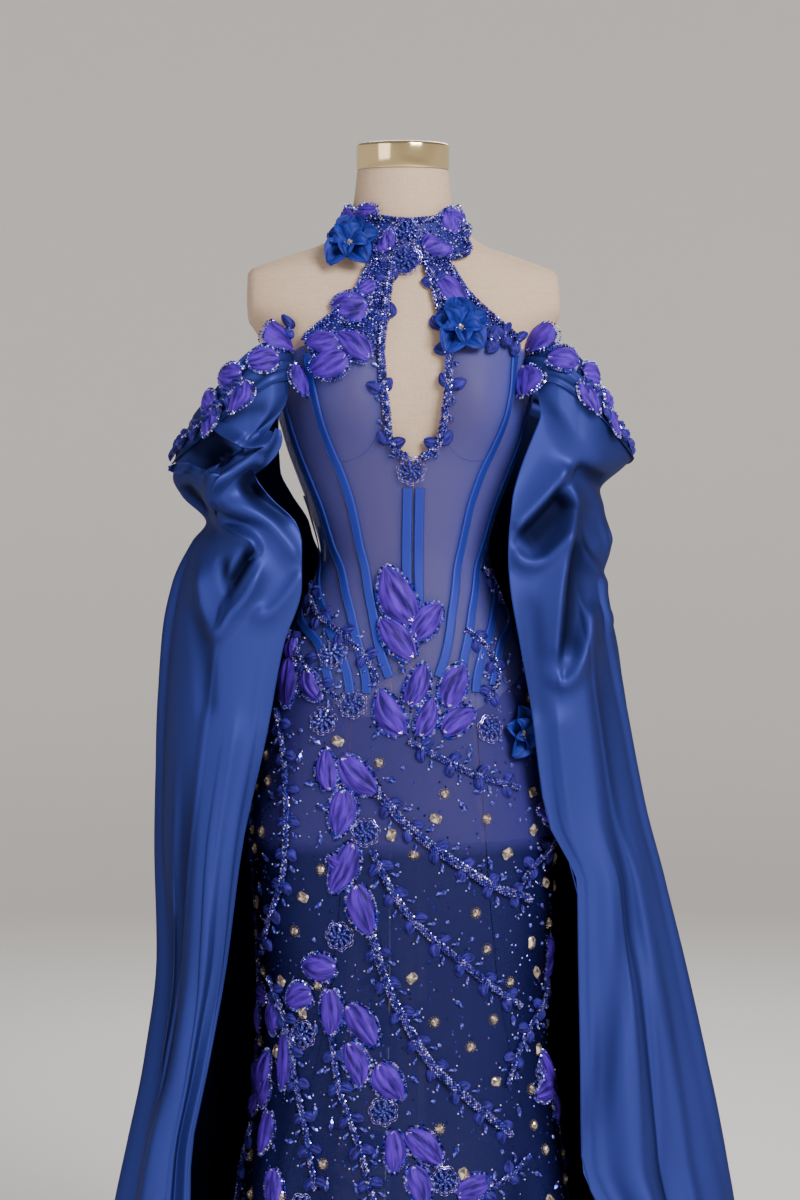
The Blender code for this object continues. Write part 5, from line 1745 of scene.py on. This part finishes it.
# petals sewn singly or in threes, further down the front: column, row, heading, size in millimetres
loosePetals = (
    (394, 1130, -90, 50, 25), (406, 1132, -43, 56, 32), (413, 1166, -76, 48, 28),
    (457, 1199, 20, 48, 30), (275, 999, -80, 40, 24), (289, 1028, -90, 72, 24),
    (271, 1071, -100, 42, 24), (273, 1107, -95, 54, 27), (276, 1165, -80, 48, 26),
    (330, 1215, -60, 50, 30), (395, 1225, -120, 50, 30), (350, 870, 150, 30, 20),
)
rosettePlaces = (
    (411, 470), (335, 654), (325, 720), (354, 704), (489, 730), (366, 832), (341, 935), (306, 1032),
    (384, 1111), (444, 1182), (540, 1075), (300, 1205), (500, 1230),
)
thinVines = (
    (307, 583, 320, 612, 343, 633, 367, 657, 378, 682),
    (293, 632, 305, 657, 320, 683, 340, 698), (478, 568, 490, 585, 498, 606),
    (463, 630, 478, 642, 490, 657, 496, 680, 484, 702),
    (407, 740, 437, 757, 477, 777, 517, 790),
    (334, 1035, 340, 1082, 352, 1120, 363, 1155, 375, 1201),
    (273, 972, 288, 1012, 298, 1070, 307, 1128, 315, 1189),
    (551, 843, 532, 866, 519, 884), (544, 978, 532, 1020, 517, 1051, 505, 1089),
    (470, 1200, 500, 1185, 530, 1160),
)


def spotOf(column, row):
    return tuple(float(value[0]) for value in fromPhoto((column, row)))


taken = []


def take(angle, height, radius):
    taken.append((*bodyPoint(angle, height), radius))


def clothMotifs(name, pile, finish, flat, node=None):
    clothPiece(pile.build(name, finish), node, flat, 1.3)


def frontSprays():
    for name, (column, row, *flat, petals) in sprays.items():
        pile = Pile()
        base = netFace + (0.0042 if name in ("spray_waist", "spray_bust") else 0.0008)
        for dx, dy, heading, length, width, lean in petals:
            angle, height = spotOf(column + dx, row + dy)
            petal(pile, Skin(angle, height, base), heading, length, width, lean=lean)
            turn = math.radians(heading)
            half = length / 2000
            aside = math.cos(turn) * half / Skin(angle, height).degree
            take(angle + aside, height + math.sin(turn) * half, half)
        ground = Skin(*spotOf(column, row), base)
        for k in range(6):
            roundBeads.add(*frameOn(ground, 0.004 * math.cos(k), 0.004 * math.sin(k), out=0.002),
                           0.0034, "sky" if k % 2 else "silver")
        clothMotifs(name + "_petals", pile, "petal", tuple(flat), name)


def frontVines():
    for name, (thick, *stops) in vines.items():
        pile = Pile()
        vine(pile, *fromPhoto(stops), 0.04, thick, 0.018)
        clothMotifs(name + "_leaves", pile, "leaf", (0.09, 0.11), name)


# petals in threes, and vines, round the sides and back: angle, height, and a vine's drop and sway
sideThrees = (
    (104, 0.86), (118, 0.7), (92, 0.56), (128, 0.44), (150, 0.6), (168, 0.8), (146, 0.3), (104, 0.3),
    (-100, 0.83), (-122, 0.68), (-94, 0.52), (-132, 0.42), (-152, 0.58), (-170, 0.72), (-150, 0.28),
    (-108, 0.26), (176, 0.46), (-176, 0.94), (160, 1.0), (-156, 0.98), (80, 0.74), (-78, 0.4), (76, 0.4),
    (172, 0.18), (-172, 0.3), (60, 0.16), (-60, 0.14), (20, 0.14), (-20, 0.16), (120, 0.14), (-124, 0.12),
)
sideVines = (
    (90, 0.8, 0.26, 14), (112, 0.62, 0.3, -12), (138, 0.84, 0.34, 12), (158, 0.5, 0.3, -10),
    (-92, 0.76, 0.26, -14), (-114, 0.6, 0.32, 12), (-140, 0.86, 0.36, -12), (-160, 0.5, 0.3, 10),
    (180, 0.66, 0.3, 8), (86, 0.42, 0.26, 10), (-84, 0.36, 0.22, -10), (126, 0.3, 0.2, 10),
    (-122, 0.28, 0.2, -8), (34, 0.22, 0.15, 8), (-32, 0.22, 0.15, -8), (172, 0.32, 0.22, -8),
)


def scatteredMotifs():
    # the sides and back carry like motifs in a layout of their own
    pile = Pile()
    leaves = Pile()
    for column, row, heading, length, width in loosePetals:
        ground = Skin(*spotOf(column, row))
        petal(pile, ground, heading, length, width, lean=0.04)
        take(ground.angle, ground.height, 0.03)
    for stops in thinVines:
        vine(leaves, *fromPhoto(stops), 0.04, 0.0058, 0.016)
    for column, row in rosettePlaces:
        angle, height = spotOf(column, row)
        rosette(Skin(angle, height, netFace + (0.001 if row > 700 else 0.0032)))
        take(angle, height, 0.024)
    for k, (angle, height) in enumerate(sideThrees):
        ground = Skin(angle, height, netFace + (0.0032 if height > 0.93 else 0.0008))
        for turn, length, width, lean in (
                (0, 52, 32, 0.05), (62, 46, 28, -0.05), (150, 40, 24, 0.05)):
            heading = 40 + 53 * k + turn + chance.uniform(-10, 10)
            petal(pile, ground, heading, length, width, lean=lean, start=0.006)
        take(angle, height, 0.05)
    part = np.linspace(0, 1, 5)
    for angle, height, drop, sway in sideVines:
        vine(leaves, angle + sway * np.sin(part * 3.4), height - drop * part, 0.044, 0.0062, 0.016)
    for k in range(60):
        angle = 75 + (k * 47.0) % 210
        height = 0.1 + (k * 0.137) % 0.86
        spot = bodyPoint(angle, height)
        if all(np.linalg.norm(spot - t[:3]) > 0.05 + t[3] * 0.6 for t in taken):
            rosette(Skin(angle, height, netFace + (0.001 if height < 0.93 else 0.0032)))
            take(angle, height, 0.024)
    clothMotifs("scattered_petals", pile, "petal", (1.30, 0.42))
    clothMotifs("scattered_leaves", leaves, "leaf", (0.42, 0.32))


def neckMotifs():
    # petals and rosettes on the collar and the halter straps
    pile = Pile()
    for column, row, heading, length, width in neckPetals:
        ground = Skin(*spotOf(column, row), 0.0062 if row < 262 else netFace + 0.0012)
        petal(pile, ground, heading, length, width, 0.0065)
        take(ground.angle, ground.height, 0.016)
    for angle in (70, 118, 160, -60, -104, -150):
        for heading in (20, 165):
            petal(pile, Skin(angle, 1.498, 0.0062), heading, 30, 20, 0.006)
        take(angle, 1.498, 0.02)
    clothMotifs("neck_petals", pile, "petal", (0.20, 0.09))
    rosette(Skin(*spotOf(407, 232), 0.008), 0.017)
    # the lower one hangs free over the top of the keyhole
    plate = Plate(bodyPoint(*spotOf(405, 264), 0.013), (-0.12, -1.0, 0.08))
    rosette(plate, 0.021)
    backing = Pile()
    outer, marks, edge = petalGrid(plate, -0.017, 0, 0, 0.034, 0.034, 0.0006, 9, 9)
    backing.dome(outer - plate.facing * 0.0014, marks)
    clothPiece(backing.build("rosette_backing", "leaf"), None,
               (0.034, 0.034))


# petals on the collar and the straps: column, row, heading, size in millimetres
neckPetals = (
    (389, 252, 125, 33, 24), (422, 249, 5, 38, 30), (448, 234, 60, 32, 25),
    (367, 305, 188, 44, 36), (438, 278, -53, 50, 29), (376, 286, 200, 24, 18),
)
# the seams of the cups, as lines over the photo
cupSeams = (
    (340, 461, 352, 459, 364, 453, 372, 444, 376, 434),
    (446, 436, 450, 446, 458, 455, 470, 460, 484, 459),
)


def cupStitches():
    pile = Pile()
    for stops in cupSeams:
        angles, heights = fromPhoto(smoothLine(stops, 24))
        pile.tube(bodyPoint(angles, heights, netFace + 0.0002), 0.0006, 5)
    rides(pile.build("cup_seam_stitches", "corsetNet"))


def beadBed(count, tries, sizes, pick):
    # round beads as close as they go, none over another: pick finds places and normals
    placed = np.zeros((0, 3))
    for step in range(tries):
        here, normal = pick(count)
        size = chance.choice(sizes, count, p=[0.45, 0.35, 0.2])
        tints = neckTones[chance.integers(0, len(neckTones), count)]
        frames = levelFrames(normal)
        for k in range(count):
            if len(placed) and np.min(np.sum((placed - here[k]) ** 2, axis=1)) < (size[k] * 0.92) ** 2:
                continue
            placed = np.concatenate([placed, here[k:k + 1]])
            roundBeads.add(here[k], frames[k], size[k], tints[k])


neckTones = np.array([tones[name] for name in ("silver", "lilac", "royal", "navy", "sky", "violet", "navy")])


def neckBeds():
    def onCollar(count):
        angle = chance.uniform(-178, 178, count)
        part = chance.uniform(0.03, 0.97, count)
        here = collarPoint(angle, part, 0.0036 + 0.0028 * np.sin(np.pi * part) ** 0.5)
        return here, bodyNormal(angle, here[:, 2])

    beadBed(420, 8, [0.0027, 0.0034, 0.0046], onCollar)
    for sign in (-1, 1):
        def onStrap(count):
            share = chance.uniform(0.02, 0.98, count)
            part = chance.uniform(0.02, 0.98, count)
            here = halterGround(share, part, sign, netFace + 0.0024)
            return here, unit(here - halterGround(share, part, sign, 0.0))

        beadBed(260, 6, [0.0027, 0.0036, 0.0048], onStrap)


def neckRopes():
    # ropes along the edges of the collar and down the outer edges of the straps
    angle = np.linspace(-172, 172, 60)
    for part in (0.02, 0.96):
        height = mix(collarEdges.at(np.abs(angle), "low"), collarEdges.at(np.abs(angle), "high"), part)
        vineBeads(Path(angle, height, 0.005), 0.0054)
    height = np.linspace(1.345, 1.434, 16)
    for sign in (-1, 1):
        angle = sign * frontAngle(halterEdge.at(height, "halfWidth") - 0.003, height)
        vineBeads(Path(angle, height, netFace + 0.001), 0.005)


# pairs of leaves along each side of the keyhole: share of its run, offset outward, turn, size
keyholeLeaves = {
    -1: (
        (0.1, 0.004, -50, 0.021), (0.36, 0.002, 10, 0.02), (0.72, -0.006, 60, 0.019),
        (0.92, 0.004, 20, 0.018),
    ),
    1: (
        (0.1, 0.004, 50, 0.021), (0.38, 0.002, -15, 0.02), (0.58, 0.004, 40, 0.022),
        (0.66, -0.004, -40, 0.02), (0.9, 0.004, 10, 0.018),
    ),
}


def keyholeEdge():
    # a rope of beads and a line of leaves round the keyhole
    leaves = Pile()
    height = np.concatenate([[1.199, 1.203], np.linspace(1.212, 1.436, 30)])
    for sign in (-1, 1):
        angle = sign * (frontAngle(keyhole.at(height, "halfWidth"), height) + 1.0)
        path = Path(angle, height, netFace + 0.0004)
        vineBeads(path, 0.008)
        for share, off, turn, size in keyholeLeaves[sign]:
            run = share * path.length
            leafPair(leaves, Skin(*path.at(run), path.base), path.direction(run) + turn, size, off * sign)
        for share in np.arange(0.06, 0.95, 0.085):
            run = share * path.length + chance.uniform(-0.005, 0.005)
            navettes.add(*path.frames(run, -0.0085 * sign, 0.0006, chance.uniform(0.3, 1.2)),
                         beadLook["navette"], "royal" if share < 0.5 else "sky")
    clothMotifs("keyhole_leaves", leaves, "leaf", (0.13, 0.10))


# petals on an arm band: share of its run, place across, heading, size in millimetres
bandPetals = (
    (0.04, 0.4, 75, 42, 36), (0.11, 0.15, 10, 46, 34), (0.05, -0.3, -75, 44, 34),
    (0.22, 0.3, 40, 40, 30), (0.23, -0.15, -50, 40, 28), (0.35, 0.15, 60, 36, 26),
    (0.36, -0.1, -70, 36, 26), (0.8, 0.1, 100, 34, 26), (0.81, -0.1, -60, 36, 26),
)
# pairs of leaves where the bands meet the bodice: column, row, heading
bodiceLeaves = (
    (500, 338, 20), (512, 342, -20), (487, 342, 10), (495, 343, 170), (283, 338, 170), (296, 330, 150))


def bandMotifs():
    pile = Pile()
    leaves = Pile()
    for sign in (-1, 1):
        for part, across, heading, length, width in bandPetals:
            # the run turns back behind the arm, and the left band mirrors the right one
            if (sign < 0) != (part > 0.5):
                heading = 180 - heading
            petal(pile, Strap(sign, part, across, 0.004), heading, length, width, 0.007)
        for low, high in ((0.22, 0.52), (0.56, 0.74)):
            for k, part in enumerate(np.arange(low, high, 0.0075)):
                ground = Strap(sign, part, -0.3 + 0.1 * math.sin(part * 30), 0.0042)
                bugles.add(*frameOn(ground, 0.0, 0.0, 0.9 * (-1) ** k + 1.2, 0.002),
                           (0.0075, 0.0019, 0.0019), "royal" if k % 3 == 1 else "silver")
                for off in (-0.0042, 0.0042):
                    roundBeads.add(*frameOn(ground, 0.0, off, out=0.001), 0.0024, "navy")
                if k % 6 == 3:
                    leafPair(leaves, ground, 0 if sign > 0 else 180, 0.017)
    for column, row, heading in bodiceLeaves:
        leafPair(leaves, Skin(*spotOf(column, row), netFace + 0.0045), heading)
    clothMotifs("band_petals", pile, "petal", (0.24, 0.10))
    clothMotifs("band_leaves", leaves, "leaf", (0.14, 0.09))


def skirtCrystals():
    # gold and blue stones spread over the net, and seed beads between them
    spots = np.array([t[:3] for t in taken])
    radii = np.array([t[3] for t in taken])
    placed = []

    def clear(here, room):
        if np.min(np.linalg.norm(spots - here, axis=1) - radii * 0.62) < room:
            return False
        if placed and np.min(np.linalg.norm(np.array(placed) - here, axis=1)) <= room + 0.017:
            return False
        placed.append(here)
        return True

    def stone(angle, height, kind):
        ground = Skin(angle, height, netFace + (0.0003 if height < 0.93 else 0.003))
        turn = chance.uniform(0, 3)
        place = frameOn(ground, 0.0, 0.0, turn)
        if kind == "cut":
            emeralds.add(*place, (0.0155, 0.012, 0.0085), "champagne")
        elif kind == "round":
            crystals.add(*place, (0.0112, 0.0112, 0.0085), "champagne")
            ring = np.linspace(0, 2 * np.pi, 12, endpoint=False) + turn
            roundBeads.add(*frameOn(ground, 0.0066 * np.cos(ring), 0.0066 * np.sin(ring)), 0.0018, "setting")
        elif kind == "leaf":
            navettes.add(*place, (0.0148, 0.0078, 0.0064), "royal")
            roundBeads.add(*frameOn(ground, 0.009 * math.cos(turn), 0.009 * math.sin(turn)), 0.0026, "silver")
        else:
            crystals.add(*place, (0.0062, 0.0062, 0.005), "sky")

    for row, level in enumerate(np.arange(0.05, 0.9, 0.046)):
        count = int(float(figure.at(level, "halfWidth")) * 5.4 / 0.056)
        for k in range(count):
            angle = 360 * (k + 0.5 * (row % 2)) / count + chance.uniform(-4, 4) - 180
            height = level + chance.uniform(-0.014, 0.014)
            if clear(bodyPoint(angle, height), 0.006):
                stone(angle, height, "cut" if chance.uniform() < 0.42 else "round")
    for k in range(1100):
        angle = chance.uniform(-180, 180)
        height = chance.uniform(0.03, 0.95)
        if clear(bodyPoint(angle, height), 0.004):
            stone(angle, height, "leaf" if chance.uniform() < 0.45 else "small")
    seeds = 2600
    angle = chance.uniform(-180, 180, seeds)
    height = 0.02 + 0.9 * chance.uniform(0, 1, seeds)
    here = bodyPoint(angle, height, netFace + 0.0004)
    frames = levelFrames(bodyNormal(angle, height))
    pick = chance.uniform(size=seeds)
    for low, high, size, tint in (
            (0, 0.4, 0.002, "lilac"), (0.4, 0.75, 0.0022, "royal"), (0.75, 1, 0.0024, "navy")):
        chosen = (pick >= low) & (pick < high)
        sequins.add(here[chosen], frames[chosen], (size * 1.5, size * 1.5, size), tint)


frontSprays()
frontVines()
flowers = {
    "flower_collar": (352, 250, 0.038, 0.0042),
    "flower_strap": (459, 332, 0.038, 0.0036),
    "flower_hip": (517, 735, 0.032, 0.0009),
}
for name, (column, row, radius, lift) in flowers.items():
    chiffonFlower(name, Skin(*spotOf(column, row), netFace + lift), radius)
scatteredMotifs()
neckMotifs()
neckBeds()
neckRopes()
keyholeEdge()
cupStitches()
bandMotifs()
skirtCrystals()
print("petals, leaves and flowers sewn on")

rides(cords.build("rope_cords", "base"))
for name, beads, shape, finish in (
        ("round_beads", roundBeads, "round", "bead"), ("petal_edge_beads", petalBeads, "seed", "bead"),
        ("rope_beads", ropeBeads, "seed", "bead"), ("bugle_beads", bugles, "bugle", "bead"),
        ("cushion_crystals", crystals, "cushion", "crystal"),
        ("emerald_crystals", emeralds, "emerald", "crystal"),
        ("navette_crystals", navettes, "navette", "crystal"), ("seed_sequins", sequins, "seed", "bead"),
        ("bone_stitches", stitches, "seed", "thread"), ("zip_teeth", teeth, "round", "zipMetal")):
    beadPiece(name, beads, shape, finish)
for shape in shapes.values():
    bpy.data.objects.remove(shape, do_unlink=True)
print("beads sewn on")


# floor, light and camera

def studio():
    # a round pale floor that curves up into a wall all the way about
    floor = [(0, 0.0), (0.5, 0.0), (2.0, 0.0), (4.4, 0.0)]
    floor += [(4.4 + 1.2 * math.sin(a), 1.2 - 1.2 * math.cos(a)) for a in np.linspace(0.12, math.pi / 2, 12)]
    floor = [(radius, height - 0.0004) for radius, height in floor + [(5.6, 3.2)]]
    lathe("studio_floor", "floor", floor, steps=72, soft=60, closed=False)
    world = bpy.data.worlds.new("studio_air")
    world.use_nodes = True
    world.node_tree.nodes["Background"].inputs["Color"].default_value = (0.92, 0.94, 1.0, 1.0)
    world.node_tree.nodes["Background"].inputs["Strength"].default_value = 0.26
    bpy.context.scene.world = world
    for name, place, aim, size, power, tint in (
            ("key_light", (1.5, -3.0, 3.0), (0, 0, 1.0), 1.6, 190, (1.0, 0.97, 0.94)),
            ("fill_light", (-2.7, -2.0, 1.8), (0, 0, 0.9), 1.8, 22, (0.93, 0.96, 1.0)),
            ("back_light", (0.6, 2.6, 3.0), (0, 0, 1.1), 1.4, 60, (1.0, 1.0, 1.0))):
        lamp = bpy.data.lights.new(name, "AREA")
        lamp.size = size
        lamp.energy = power
        lamp.color = tint
        light = linked(name, lamp)
        light.location = place
        aimAt(light, aim)


def aimAt(thing, spot):
    away = Vector(spot) - Vector(thing.location)
    thing.rotation_euler = away.to_track_quat("-Z", "Y").to_euler()


def photoCamera():
    far = photo["distance"]
    eye = photo["eyeHeight"]
    lens = bpy.data.cameras.new("photo_camera")
    lens.sensor_fit = "VERTICAL"
    lens.sensor_height = 24
    lens.lens = 12 / (600 * pixel / far)
    camera = linked("photo_camera", lens)
    camera.location = (-far * math.sin(photo["turn"]), -far * math.cos(photo["turn"]), eye)
    aimAt(camera, (0, 0, eye))
    # the lens is level and shifted, so upright lines stay upright
    level = (photo["floorRow"] - photo["middleRow"]) * pixel
    lens.shift_x = (400 - photo["middleColumn"]) / 1200
    lens.shift_y = (level - eye) / (1200 * pixel)
    bpy.context.scene.camera = camera


studio()
photoCamera()
